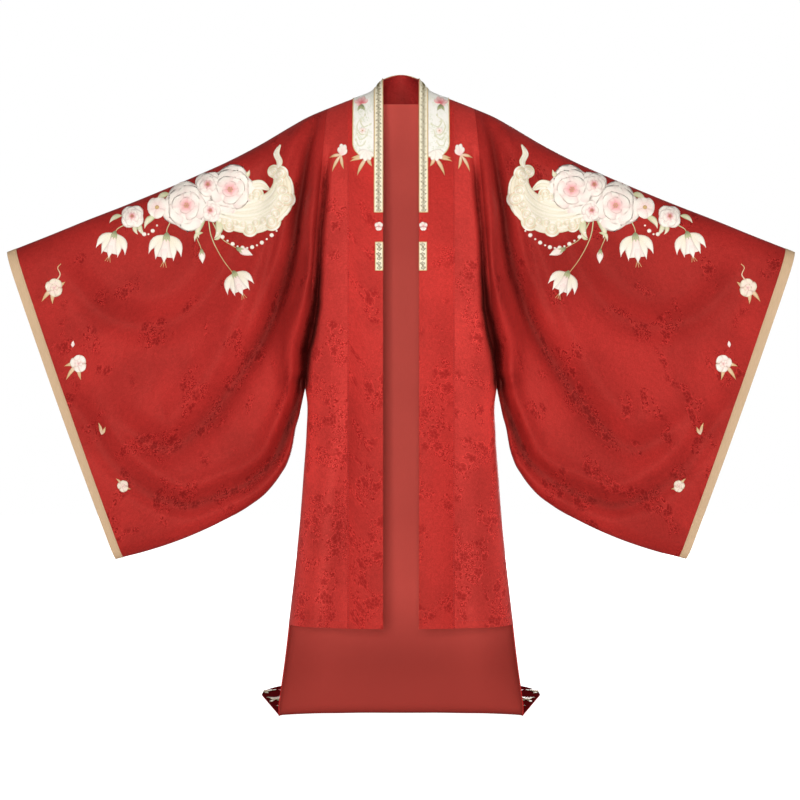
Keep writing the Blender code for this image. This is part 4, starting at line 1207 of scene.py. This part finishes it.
def dress_strip(name, cells):
    """Piping round a strip's edge and scrolls down its middle."""
    edges = ((ALL, 0), (-1, ALL), (BACKWARD, -1), (0, BACKWARD))
    piped = piping(name + "_piping", cells, edges, 0.0011)
    middle = [grid[:, grid.shape[1] // 2] for grid in cells]
    line, ups = off_band(*middle, LAID_GAP + LAID)
    length = run_of(line)[-1]
    count = max(1, round((length - 0.004) / SCROLL_STEP))
    at = (np.arange(count) + 0.5) * length / count
    scrolls = repeat(name + "_scrolls", scroll_form, olive_thread, SCROLL_STEP,
                     *stations(line, ups, at))
    return piped, sewn_on(scrolls)


trim_columns = np.linspace(OPENING_HALF + STRIP_IN, TRIM_EDGE - 0.0012, 7)
climb = np.linspace(0, 1, 60)[:, None]
height = TRIM_FOOT + climb * (top_height(trim_columns) - TRIM_FOOT)
cells = round_neck(np.broadcast_to(trim_columns, height.shape)[:-1], height[:-1])
trim = laid("collar_trim_woven", cells, trim_ground)
wear(trim, "cream", "collar_trim", flat=(0.022, 0.96), held="laid", rests_on=["collar_band_silk"],
     with_pieces=dress_strip("collar_trim", cells))
for side, mirrored in SIDES:
    out, height = np.meshgrid(np.linspace(OPENING_HALF + STRIP_IN, TAB[0], 7),
                              np.linspace(TAB[2], TAB[1], 16))
    cells = band_cell(out, height, mirrored)
    tab = laid(f"trim_tab_{side}_woven", cells, trim_ground)
    wear(tab, "cream", f"trim_tab_{side}", flat=(0.018, 0.067), held="laid",
         rests_on=["collar_band_silk"], with_pieces=dress_strip(f"trim_tab_{side}", cells))
bpy.data.objects.remove(scroll_form)

# --- The embroidery on the sleeves --------------------------------------------------
# Padded satin stitch in cream, shell pink and gold: peonies and bell flowers that hang
# along the arm, ruyi clouds towards the shoulder, buds, leaves and strings of pearls.

PROFILES = {  # half widths along a stitched form, as shares of its widest
    "petal": lambda s: np.sin(np.pi * s**1.5) ** 0.5,
    "lily": lambda s: (0.30 + 0.70 * np.sin(np.pi * np.clip(s * 1.05, 0, 1)) ** 1.3) * (1 - s**5),
    "leaf": lambda s: np.sin(np.pi * s**0.8) ** 1.1,
    "disc": lambda s: np.sqrt(np.clip(1 - (2 * s - 1) ** 2, 0, 1)),
    "stem": lambda s: 1 - 0.45 * s,
    "strand": lambda s: np.sin(np.pi * np.clip(s, 0.02, 0.98)) ** 0.35,
    "bell": lambda s: 0.34 + 0.66 * s**1.8,
}
CREAM, IVORY, SHELL = srgb(252, 247, 236), srgb(240, 231, 206), srgb(250, 222, 216)
ROSE, DEEP_ROSE, GOLD = srgb(238, 150, 156), srgb(214, 92, 104), srgb(214, 178, 118)
SAGE, MOSS = srgb(206, 208, 160), srgb(120, 128, 82)
PALE_ROSE, PETAL_RIM = srgb(246, 206, 202), srgb(224, 202, 194)
LEAF_GOLD = (srgb(244, 214, 186), GOLD, srgb(176, 136, 82))
GREEN = (MOSS, SAGE, MOSS)
LEAST_RISE = 0.0004  # how far a form's edge stands off the cloth
SUNK = 0.0006  # how far its underside lies below its edge
FLOSS_PITCH = 0.0008


def turned_by(vector, degrees):
    """A flat vector turned to the left."""
    angle = math.radians(degrees)
    c, s = math.cos(angle), math.sin(angle)
    return np.array([vector[0] * c - vector[1] * s, vector[0] * s + vector[1] * c])


def stitched(base, tip, width, profile, colours, lift=0.0, bend=0.0, crown=0.0012, frill=0.0,
             path=None, steps=(12, 7)):
    """One padded form of satin stitch, flat in its own plane: from base to tip, or along
    a path, this wide at its widest. colours are those at its base, tip and edges."""
    s = 0.5 - 0.5 * np.cos(np.pi * np.linspace(0.02, 0.98, steps[0]))
    t = np.sin(np.linspace(-np.pi / 2, np.pi / 2, steps[1]))
    if path is None:
        base, tip = np.asarray(base, float), np.asarray(tip, float)
        run = tip - base
        bow = (bend * 4 * s * (1 - s))[:, None] * np.array([-run[1], run[0]])
        middle = base + s[:, None] * run + bow
    else:
        at = np.arange(len(path))
        middle = np.column_stack([smooth_curve(at, np.array(path, float)[:, k], s * at[-1])
                                  for k in (0, 1)])
    along = np.gradient(middle, axis=0)
    length = np.linalg.norm(along, axis=1).sum()
    along = unit(along)
    beside = np.column_stack([-along[:, 1], along[:, 0]])
    half = width / 2 * PROFILES[profile](s)
    ruffle = frill * length * (np.cos(2.5 * np.pi * t) - np.abs(t)) * (s[:, None] ** 3)
    flat = middle[:, None] + (half[:, None] * t)[..., None] * beside[:, None]
    flat = flat + ruffle[..., None] * along[:, None]
    swell = np.sqrt(np.clip(1 - t**2, 0, 1)) * np.sin(np.pi * s[:, None]) ** 0.4
    groove = 1 - 0.18 * np.exp(-((t / 0.16) ** 2))
    first, last, rim = (np.array(c) for c in colours)
    tone = first + (last - first) * ease(s)[:, None, None]
    # Towards its edges each form takes its edge colour: partly the thread's own outline colour,
    # partly painted shade where the padded form turns down to the cloth.
    tone = tone + (rim - tone) * (0.85 * np.abs(t) ** 4)[:, None]
    stitch = np.stack(np.broadcast_arrays(half[:, None] * t, s[:, None] * length), axis=-1)
    return {"flat": flat, "up": lift + LEAST_RISE + crown * swell * groove, "tone": tone,
            "stitch": stitch}


def laid_thread(path, width, profile, colours, crown, steps, lift=0.0):
    """A stem or a strand of thread along a path."""
    return stitched(None, None, width, profile, colours, lift, crown=crown, path=path,
                    steps=steps)


def disc(at, radius, colours, lift=0.0, crown=0.0012, steps=(12, 7), turn=0.0):
    """A round knot, pearl or coil."""
    way = turned_by((radius, 0), turn)
    return stitched(np.array(at) - way, np.array(at) + way, 2 * radius, "disc", colours, lift,
                    0.0, crown, steps=steps)


def fan(middle, turns, lengths, width, profile, colours, lift=0.0):
    """Stitched forms that spread from one point, each turned and as long as given."""
    middle = np.array(middle)
    return [stitched(middle, middle + turned_by((long, 0), turn), width, profile, colours,
                     lift + 0.0003 * (k % 2), 0.06)
            for k, (turn, long) in enumerate(zip(turns, lengths))]


def blossom(middle, radius, petals, colours, lift, start, wide, frill=0.0, crown=0.0014):
    """A ring of petals round a middle. wide is each petal's width, as a share of its own
    part of the ring."""
    made = []
    for k in range(petals):
        way = turned_by((radius, 0), start + k * 360 / petals + 7 * (-1) ** k)
        made.append(stitched(np.array(middle) + way * 0.06, np.array(middle) + way,
                             wide * 2 * radius * math.sin(math.pi / petals) * 1.25, "petal",
                             colours, lift + 0.00026 * (k % 3), 0.05 * (-1) ** k, crown, frill))
    return made


def peony(middle, radius, heart, start):
    """Four rings of frilled petals round a heart of gold knots."""
    made = []
    rings = ((1.0, 8, SHELL, CREAM), (0.80, 7, SHELL, CREAM), (0.56, 6, PALE_ROSE, CREAM),
             (0.31, 5, heart, SHELL))
    for ring, (share, petals, base, tip) in enumerate(rings):
        made += blossom(middle, radius * share, petals, (base, tip, PETAL_RIM), 0.0009 * ring,
                        start + 24 * ring, 1.15 - 0.05 * ring, 0.05)
    for k in range(7):
        at = np.array(middle) + turned_by((radius * 0.08 * (k > 0), 0), 60 * k)
        made.append(disc(at, radius * 0.030, (GOLD, GOLD, srgb(160, 120, 60)), 0.0042,
                         steps=(5, 5)))
    return made


def plum(middle, radius, colours=(SHELL, CREAM, srgb(220, 196, 186))):
    """A small open blossom with a gold middle."""
    return [*blossom(middle, radius, 5, colours, 0.0, 90.0, 0.92, 0.02),
            disc(middle, radius * 0.2, (GOLD, GOLD, srgb(170, 130, 70)), 0.0012)]


def leaf(base, tip, width, colours, bend):
    """One leaf, with its edge curved to a side by its bend."""
    return [stitched(base, tip, width, "leaf", colours, 0.0, bend, 0.0010)]


def calyx(base, along, reach, turns, width, lift):
    """Green sepals that hold a flower."""
    return [stitched(base - along * 0.10, base + turned_by(along * reach, turn), width, "leaf",
                     GREEN, lift, 0, 0.0006) for turn in turns]


def bell(top, length, lean):
    """A hanging bell flower: a flared cup with curled tips under a green calyx."""
    top = np.array(top, float)
    down, beside = turned_by((0, -length), lean), turned_by((length, 0), lean)
    white, edge = (SHELL, CREAM, srgb(216, 200, 190)), (IVORY, CREAM, srgb(206, 190, 178))
    made = [stitched(top + down * 0.06, top + down * reach + beside * share, length * 0.36,
                     "lily", edge, 0.0, 0.26 * share)
            for share, reach in ((-0.62, 0.80), (0.62, 0.80), (-0.34, 0.98), (0.34, 0.98))]
    made.append(stitched(top, top + down * 0.86, length * 0.62, "bell", white, 0.0009, 0.0,
                         0.0020))
    made.append(stitched(top + down * 0.3, top + down * 1.10, length * 0.34, "lily", white,
                         0.0016, 0.03))
    made += calyx(top, down, 0.30, (-26, 0, 26), length * 0.12, 0.0030)
    return made + [stitched(top + down * 0.95, top + down * 1.24 + beside * share,
                            length * 0.03, "stem", (GOLD, GOLD, GOLD), crown=0.0006)
                   for share in (-0.10, 0.02, 0.13)]


def bud(base, tip, width):
    """A closed bud in two green sepals."""
    base, tip = np.array(base, float), np.array(tip, float)
    return [stitched(base, tip, width, "leaf", (SHELL, CREAM, srgb(214, 196, 186)), 0.0004, 0.0,
                     0.0022), *calyx(base, tip - base, 0.42, (-16, 16), width * 0.34, 0.0022)]


def ruyi(middle, size, turn):
    """A ruyi cloud head: three coiled lobes built up in rows of laid thread."""
    made = []
    for lobe, (at, reach) in enumerate((((-0.55, 0.05), 0.62), ((0.55, 0.05), 0.62),
                                        ((0, 0.42), 0.78))):
        place = np.array(middle) + turned_by(np.array(at) * size, turn)
        for ring, share in enumerate((1.0, 0.76, 0.54, 0.33, 0.16)):
            shift = turned_by((0, 0.10 * reach * size * (1 - share)), turn)
            tint = (CREAM, IVORY, GOLD) if ring % 2 else (IVORY, CREAM, SAGE)
            made.append(disc(place + shift, reach * size * share, tint,
                             0.0007 * ring + 0.0003 * lobe, 0.0009, turn=turn + 90))
    return made


def trail(points, width, rows):
    """A flowing cloud tail of laid threads side by side, drawn together at its ends."""
    points = np.array(points, float)
    along = np.gradient(points, axis=0)
    beside = unit(np.column_stack([-along[:, 1], along[:, 0]]))
    swell = np.sin(np.pi * np.linspace(0.04, 0.96, len(points)))[:, None]
    made = []
    for row in range(rows):
        offset = ((row + 0.5) / rows - 0.5) * width
        tint = (IVORY, CREAM, SAGE) if row % 2 else (CREAM, IVORY, SAGE)
        made.append(laid_thread(points + offset * swell * beside, width / rows * 1.5, "strand",
                                tint, 0.0012, (40, 5), 0.0005 * (row % 2)))
    return made


def surface_under(forms, tree, floor=False):
    """Where a line through each form's points meets the cloth, with the directions away
    from it: a line straight back, or for the train a line straight down."""
    places, ups = [], []
    for out, other in np.concatenate([form["flat"].reshape(-1, 2) for form in forms]):
        start = Vector((out, other, -1.2)) if floor else Vector((out, -0.6, other))
        way = Vector((0, 0, -1)) if floor else Vector((0, 1, 0))
        hit, up = tree.ray_cast(start, way)[:2]
        if hit is None:
            hit, up = tree.find_nearest(start + way * (0.32 if floor else 0.55))[:2]
        places.append(hit)
        ups.append(-up if up.dot(way) > 0 else up)
    return np.array(places), unit(np.array(ups))


def padded_faces(rows, columns):
    """The faces of a closed form: its top grid, its underside and the rim between."""
    size = rows * columns
    grid = np.arange(size).reshape(rows, columns)
    ring = np.concatenate([grid[0], grid[1:, -1], grid[-1, -2::-1], grid[-2:0:-1, 0]])
    quads = np.stack([grid[:-1, :-1], grid[:-1, 1:], grid[1:, 1:], grid[1:, :-1]], -1)
    quads, following = quads.reshape(-1, 4), np.roll(ring, -1)
    return np.concatenate([quads, size + quads[:, ::-1],
                           np.stack([ring, size + ring, size + following, following], 1)])


def embroidery(name, forms, under, ups, mirrored):
    """The stitched forms as one piece of closed, padded shapes on the cloth under them."""
    points, faces, tones, stitches = [], [], [], []
    start = count = 0
    for form in forms:
        rows, columns = form["up"].shape
        size = rows * columns
        base, up = under[start : start + size], ups[start : start + size]
        up = unit(up + 2 * up.mean(axis=0))
        rise = form["up"].reshape(-1, 1)
        points += [base + up * rise, base + up * (rise.min() - SUNK)]
        faces.append(padded_faces(rows, columns) + count)
        tones += [form["tone"].reshape(-1, 3)] * 2
        stitches += [form["stitch"].reshape(-1, 2)] * 2
        start, count = start + size, count + 2 * size
    points, faces = np.concatenate(points), np.concatenate(faces)
    if mirrored:
        points = points * [-1, 1, 1]
    else:
        faces = faces[:, ::-1]
    made = add_mesh(name, points, faces.tolist(), [floss])
    colour = made.data.color_attributes.new("thread", "FLOAT_COLOR", "POINT")
    tones = np.concatenate(tones)
    colour.data.foreach_set("color", np.column_stack([tones, np.ones(len(tones))]).ravel())
    layer = made.data.uv_layers.new(name="stitch")
    layer.data.foreach_set("uv", np.concatenate(stitches)[faces.ravel()].ravel())
    return sewn_on(made)


def both_sides(name, forms, under, nodes=None):
    """The same embroidery on the left and, mirrored, on the right."""
    for side, mirrored in SIDES:
        made = embroidery(name.format(side), forms, *under, mirrored)
        if nodes:
            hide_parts(nodes.format(side))


def thread_finish():
    """Satin-stitched floss: fine threads side by side along each form, glossy on top, with
    painted shade in the grooves between the threads.
    """
    finish, shader, tree = new_material("embroidery_floss")
    stitch = node(tree, "ShaderNodeUVMap", uv_map="stitch").outputs[0]
    tone = node(tree, "ShaderNodeAttribute", attribute_name="thread").outputs["Color"]
    beside = maths("MULTIPLY_ADD", parts(stitch)[0], 2 * math.pi / FLOSS_PITCH,
                   times(noise(stitch, 160.0)[0], 5.0))
    threads = maths("MULTIPLY_ADD", maths("SINE", beside), 0.5, 0.5)
    # painted shade in the grooves between the threads
    dark = mixed(1.0, tone, (0.80, 0.74, 0.70), "MULTIPLY")
    finished(shader, mixed(threads, dark, tone), steps(threads, 0, 1, 0.55, 0.38), threads, 0.6,
             0.0002, {"Sheen Weight": 0.10})
    return finish


floss = thread_finish()


def cloth_tree(piece):
    """A piece's faces, set in order to be looked up."""
    return BVHTree.FromPolygons([v.co[:] for v in piece.data.vertices],
                                [p.vertices[:] for p in piece.data.polygons])


sleeve_forms = []
for path, width, rows in (
    ([(0.291, -0.118), (0.300, -0.140), (0.292, -0.162), (0.300, -0.184)], 0.014, 3),
    ([(0.296, -0.176), (0.284, -0.214), (0.296, -0.256), (0.336, -0.284), (0.388, -0.292),
      (0.440, -0.280), (0.472, -0.262)], 0.078, 10),
    ([(0.286, -0.250), (0.300, -0.290), (0.336, -0.314), (0.382, -0.318), (0.412, -0.310)],
     0.026, 4),
    ([(0.318, -0.226), (0.340, -0.214), (0.366, -0.222), (0.374, -0.240)], 0.022, 3),
):
    sleeve_forms += trail(path, width, rows)
for place, size, turn in (((0.300, -0.196), 0.026, 60), ((0.290, -0.246), 0.030, 105),
                          ((0.318, -0.292), 0.030, 150), ((0.366, -0.306), 0.028, 175),
                          ((0.350, -0.246), 0.022, 10), ((0.414, -0.302), 0.022, 190)):
    sleeve_forms += ruyi(place, size, turn)
sleeve_forms += [laid_thread(line, 0.0030, "stem", (SAGE, GOLD, MOSS), 0.0008, (20, 5))
                 for line in (
    [(0.466, -0.290), (0.458, -0.340), (0.434, -0.390), (0.406, -0.428)],
    [(0.462, -0.290), (0.436, -0.340), (0.412, -0.358), (0.396, -0.367)],
    [(0.556, -0.300), (0.566, -0.322), (0.566, -0.338)],
    [(0.664, -0.308), (0.686, -0.320), (0.692, -0.334)],
    [(0.500, -0.300), (0.494, -0.340), (0.486, -0.360), (0.482, -0.372)],
    [(0.350, -0.250), (0.306, -0.236), (0.284, -0.214), (0.276, -0.190)])]
for base, tip, wide, bend in (
    ((0.446, -0.292), (0.452, -0.344), 0.020, -0.2),
    ((0.470, -0.296), (0.488, -0.344), 0.019, 0.22),
    ((0.478, -0.330), (0.498, -0.352), 0.010, 0.3), ((0.452, -0.346), (0.436, -0.330), 0.008, 0.2),
    ((0.590, -0.290), (0.620, -0.320), 0.016, 0.2), ((0.630, -0.300), (0.618, -0.336), 0.013, 0.2),
    ((0.676, -0.288), (0.706, -0.306), 0.013, 0.2), ((0.640, -0.306), (0.636, -0.334), 0.012, 0.2),
    ((0.560, -0.236), (0.592, -0.252), 0.016, 0.2), ((0.384, -0.196), (0.366, -0.178), 0.014, 0.2),
):
    sleeve_forms += leaf(base, tip, wide, (SAGE, IVORY, MOSS), bend)
sleeve_forms += bud((0.396, -0.367), (0.358, -0.384), 0.019)
sleeve_forms += bud((0.482, -0.371), (0.480, -0.404), 0.016)
for top, length, lean in (((0.404, -0.425), 0.056, -22), ((0.566, -0.334), 0.064, 6),
                          ((0.692, -0.330), 0.058, 14)):
    sleeve_forms += bell(top, length, lean)
for place, radius, heart, start in (
    ((0.466, -0.214), 0.036, DEEP_ROSE, 20), ((0.412, -0.226), 0.062, ROSE, 80),
    ((0.518, -0.264), 0.062, ROSE, 50), ((0.460, -0.276), 0.030, DEEP_ROSE, 35),
):
    sleeve_forms += peony(place, radius, heart, start)
sleeve_forms += plum((0.590, -0.268), 0.026)
sleeve_forms += peony((0.650, -0.290), 0.030, DEEP_ROSE, 20)
for first, last, sag, pearls in (((0.300, -0.326), (0.444, -0.330), 0.038, 13),
                                 ((0.590, -0.312), (0.642, -0.312), 0.022, 6)):
    for k in range(pearls):
        way = k / (pearls - 1)
        at = np.array(first) * (1 - way) + np.array(last) * way
        sleeve_forms.append(disc(at - (0, sag * math.sin(math.pi * way)),
                                 0.0026 + 0.0026 * (k % 2), (CREAM, CREAM, srgb(206, 190, 170)),
                                 crown=0.0022, steps=(7, 7)))

# Single blossoms with gold leaves, set apart down the sleeve beside its cuff.
for out, height, size, tint, turns, lengths in (
    (0.840, -0.462, 0.022, IVORY, (-48, -84, 150), (0.046, 0.040, 0.030)),
    (0.782, -0.646, 0.021, CREAM, (-52, -98, -10), (0.050, 0.040, 0.036)),
    (0.676, -0.944, 0.014, IVORY, (48, -160), (0.026, 0.020)),
):
    sleeve_forms += fan((out, height), turns, lengths, size * 0.48, "leaf", LEAF_GOLD)
    sleeve_forms += blossom((out, height), size, 5, (SHELL, tint, srgb(190, 160, 130)), 0.0006, 70,
                            0.80, 0.03)
    sleeve_forms += blossom((out, height), size * 0.42, 5, (PALE_ROSE, tint, srgb(206, 170, 140)),
                            0.0020, 34, 0.9, 0.0)
twig = [(0.836, -0.446), (0.826, -0.430), (0.832, -0.414), (0.824, -0.404)]
sleeve_forms.append(laid_thread(twig, 0.0034, "stem", LEAF_GOLD, 0.0008, (16, 5)))
sleeve_forms += leaf((0.797, -0.606), (0.795, -0.590), 0.008, (SHELL, CREAM, SHELL), 0.0)
sleeve_forms += fan((0.729, -0.818), (78, 120), (0.030, 0.022), 0.008, "leaf", LEAF_GOLD)

sleeve_under = surface_under(sleeve_forms, cloth_tree(sleeves["left"]))
both_sides("sleeve_{}_embroidery", sleeve_forms, sleeve_under)

# --- The collar's embroidery --------------------------------------------------------
# On the cream piece, in padded floss: a pink blossom over two leaves, pale scrolls with
# small leaves below it, and at the foot a half-open bloom with a spray of gold leaves.

FOOT_LIFT = 0.0004  # how far the spray at the foot lies off the band


def on_collar(forms, lift):
    """Where the forms' points lie on the left front of the band, raised by lift."""
    out, height = np.concatenate([form["flat"].reshape(-1, 2) for form in forms]).T
    return off_band(*band_cell(out, height), lift)


collar_forms = fan((0.094, -0.018), (100, 62, 20, 140, -20), (0.020, 0.018, 0.021, 0.017, 0.013),
                   0.0105, "petal", (DEEP_ROSE, SHELL, srgb(224, 150, 150)))
collar_forms += fan((0.094, -0.020), (-60, -115, -85), (0.021, 0.019, 0.014), 0.0070, "leaf",
                    (MOSS, SAGE, srgb(96, 104, 66)))
pale = (srgb(238, 234, 210), srgb(226, 228, 198), srgb(206, 208, 172))
for line in ([(0.088, -0.052), (0.098, -0.062), (0.090, -0.078), (0.078, -0.074)],
             [(0.100, -0.060), (0.106, -0.078), (0.098, -0.096), (0.086, -0.098)],
             [(0.078, -0.084), (0.084, -0.102), (0.098, -0.110), (0.104, -0.100)],
             [(0.084, -0.112), (0.092, -0.124), (0.102, -0.124), (0.106, -0.114)]):
    collar_forms.append(laid_thread(line, 0.0030, "strand", pale, 0.0006, (18, 5)))
for at, turn in (((0.078, -0.074), 150), ((0.086, -0.098), 200), ((0.104, -0.100), 70),
                 ((0.106, -0.114), 60), ((0.088, -0.052), 100), ((0.092, -0.066), 20)):
    collar_forms += fan(at, (turn,), (0.009,), 0.0042, "leaf", pale)
collar_forms += plum((0.092, -0.088), 0.0085, (SHELL, CREAM, srgb(222, 212, 190)))
foot_forms = fan((0.080, -0.152), (-115, -62, -14, -4), (0.026, 0.052, 0.044, 0.040), 0.0095,
                 "leaf", LEAF_GOLD)
foot_forms += fan((0.082, -0.136), (-140, -112, -84, -56, -28), (0.022, 0.026, 0.027, 0.026, 0.022),
                  0.0125, "petal", (CREAM, CREAM, srgb(226, 206, 196)), 0.0022)
overlay_top = on_collar(collar_forms, LAID_GAP + LAID)
foot_under = on_collar(foot_forms, FOOT_LIFT)
for side, mirrored in SIDES:
    embroidery(f"collar_{side}_embroidery", collar_forms, *overlay_top, mirrored)
    embroidery(f"collar_{side}_spray", foot_forms, *foot_under, mirrored)

# --- The small blossoms between trim and tab ----------------------------------------
# Five round petals of stuffed pink silk, sewn down over a rose middle, one to each side.

BLOSSOM = (0.053, -0.320, 0.0105)  # distance out, height, radius
place, radius = np.array(BLOSSOM[:2]), BLOSSOM[2]
button_forms = blossom(place, radius, 5, (PALE_ROSE, CREAM, srgb(206, 172, 166)), 0.0, 90, 0.74,
                       0.0, 0.0024)
button_forms.append(disc(place, 0.0014, (ROSE, ROSE, GOLD), 0.0018))
both_sides("blossom_{}_silk", button_forms, on_collar(button_forms, LAID_GAP), "blossom_{}")

# --- The sprigs on the fronts -------------------------------------------------------
# Beside the collar's foot, on each front: a half-open bloom over four narrow gold leaves,
# stitched in the same floss.

sprig_forms = fan((0.143, -0.146), (-100, -62, -12), (0.036, 0.046, 0.030), 0.0080, "leaf",
                  LEAF_GOLD)
sprig_forms += fan((0.143, -0.148), (128, 108, 88, 70), (0.020, 0.028, 0.029, 0.021), 0.0120,
                   "petal", (PALE_ROSE, CREAM, srgb(224, 204, 194)), 0.0010)
sprig_under = surface_under(sprig_forms, cloth_tree(fronts["left"]))
both_sides("front_{}_sprig", sprig_forms, sprig_under)

# --- The train's border -------------------------------------------------------------
# A band of very dark red silk laid round the train's edge on its upper side, with cream
# blossoms between pale leaves stitched along it.

BORDER_COLUMNS, BORDER_ROWS = 28, 4.9  # of the back's cells, in from its sides and its end
SPRAY_STEP = 0.150
BORDER_GAP, BORDER = 0.0004, 0.0008  # its clearance and its thickness

border_silk = plain_finish("border_silk", SILK_PITCH, (0.150, 0.007, 0.009),
                           (0.085, 0.004, 0.005), 0.9, specular=0.0)
inset = np.linspace(0, 1, 7)
way = np.linspace(0, 1, 41)[:-1, None]
first, last = len(BODY_SHARES) + len(SKIRT_SHARES) + BEND_STEPS, len(back) - 1
side_row = first + way * (last - BORDER_ROWS * inset - first)
side_column = 2 * middle - BORDER_COLUMNS * inset + 0 * way
end_row = last - BORDER_ROWS * inset + 0 * way
end_column = side_column + way * (middle - side_column)
half_row, half_column = np.vstack([side_row, end_row]), np.vstack([side_column, end_column])
row = np.vstack([half_row, end_row[:1], half_row[::-1]])
column = np.vstack([half_column, middle + 0 * end_row[:1], 2 * middle - half_column[::-1]])
strip, strip_up = at_cells(back, row, column), unit(at_cells(back_normal, row, column))
border = wall("train_border_silk", strip + (BORDER_GAP + BORDER) * strip_up,
              strip + BORDER_GAP * strip_up, [border_silk, border_silk])
wear(border, "silk", flat=(0.060, 1.68), held="laid",
     rests_on=["back_left_silk", "back_right_silk"])
midway = strip[: len(strip) // 2, 3, :2]
run = run_of(midway)
train_forms = []
for at in np.arange(SPRAY_STEP / 2, run[-1] - SPRAY_STEP / 2, SPRAY_STEP):
    base, tip = (np.array([np.interp(place, run, midway[:, k]) for k in (0, 1)])
                 for place in (at, at + 0.01))
    lean = math.degrees(math.atan2(*(tip - base)[::-1]))
    for turn, long in ((-24, 0.046), (24, 0.038), (156, 0.038), (204, 0.046)):
        way = turned_by((long, 0), lean + turn)
        train_forms += leaf(base + 0.25 * way, base + way, 0.011, (SAGE, IVORY, MOSS), 0.14)
    train_forms += blossom(base, 0.016, 5, (PALE_ROSE, IVORY, SAGE), 0.0020, 90, 0.9)
train_under = surface_under(train_forms, cloth_tree(border), floor=True)
both_sides("train_{}_embroidery", train_forms, train_under)

# --- The stitching ------------------------------------------------------------------
# Rows of short running stitches: in red silk along the collar band's seam and round the
# hems of the fronts, in gold along the cuff ribbons.

STITCH_STEP = 0.0050
STITCH_RISE = 0.00005  # how far the stitches stand off the cloth
CUFF_STITCH = 1 - CUFF_SHARE + 0.0050  # share of the sleeve at which the gold ones run
CUFF_LIFT = 0.0006  # from the sleeve's silk to their line, just over the ribbon's face
SEAM_STITCH = 0.0030  # how far in from the band's seam the stitches run
HEM_ROW = -3  # the row of each front's grid that they run along


def running_stitches(name, line, ups, finish, slot):
    """Short stitches, evenly set along a line of points, raised on its cloth."""
    at = np.arange(STITCH_STEP / 2, run_of(line)[-1], STITCH_STEP)
    places, raised, along = stations(line, ups, at)
    sewn_on(repeat(name, stitch_form, finish, STITCH_STEP, places + STITCH_RISE * raised, raised,
                   along))


bow = np.linspace(0, np.pi, 5)
stitch_form = ribbon_form("stitch_form", [np.column_stack([-0.3 * np.cos(bow), 0 * bow])], 0.07)
red_thread = cord_finish("red_thread", (0.46, 0.020, 0.020), (0.26, 0.008, 0.010))
cuff_thread = cord_finish("cuff_thread", (0.62, 0.42, 0.18), (0.42, 0.26, 0.09))
seam_row = np.arange(0, WHOLE_BAND + 1)
seam_column = np.interp(BAND_SEAM - SEAM_STITCH, BAND_COLUMNS, np.arange(len(BAND_COLUMNS)))
running_stitches("band_seam_stitches", *off_band(seam_row, seam_column), red_thread, "silk")
cuff_line = sleeve_points([CUFF_STITCH, CUFF_STITCH + 0.0010])
cuff_up = outward(cuff_line, ring=True)[:, 0]
cuff_line = cuff_line[:, 0] + CUFF_LIFT * cuff_up
for side, mirrored in SIDES:
    turned = np.array([-1 if mirrored else 1, 1, 1])
    hem, hem_up = (grid[HEM_ROW] * turned for grid in front_grids[side])
    running_stitches(f"cuff_{side}_stitches", cuff_line * turned, cuff_up * turned, cuff_thread,
                     "gold")
    running_stitches(f"front_{side}_hem_stitches", hem, hem_up, red_thread, "silk")
bpy.data.objects.remove(stitch_form)

# --- The end ------------------------------------------------------------------------
# The size of what was made is measured, beside the size of the parts it stands for.

size = {"cad": [list(cad_low), list(cad_high)], "visual": [list(each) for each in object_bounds()]}
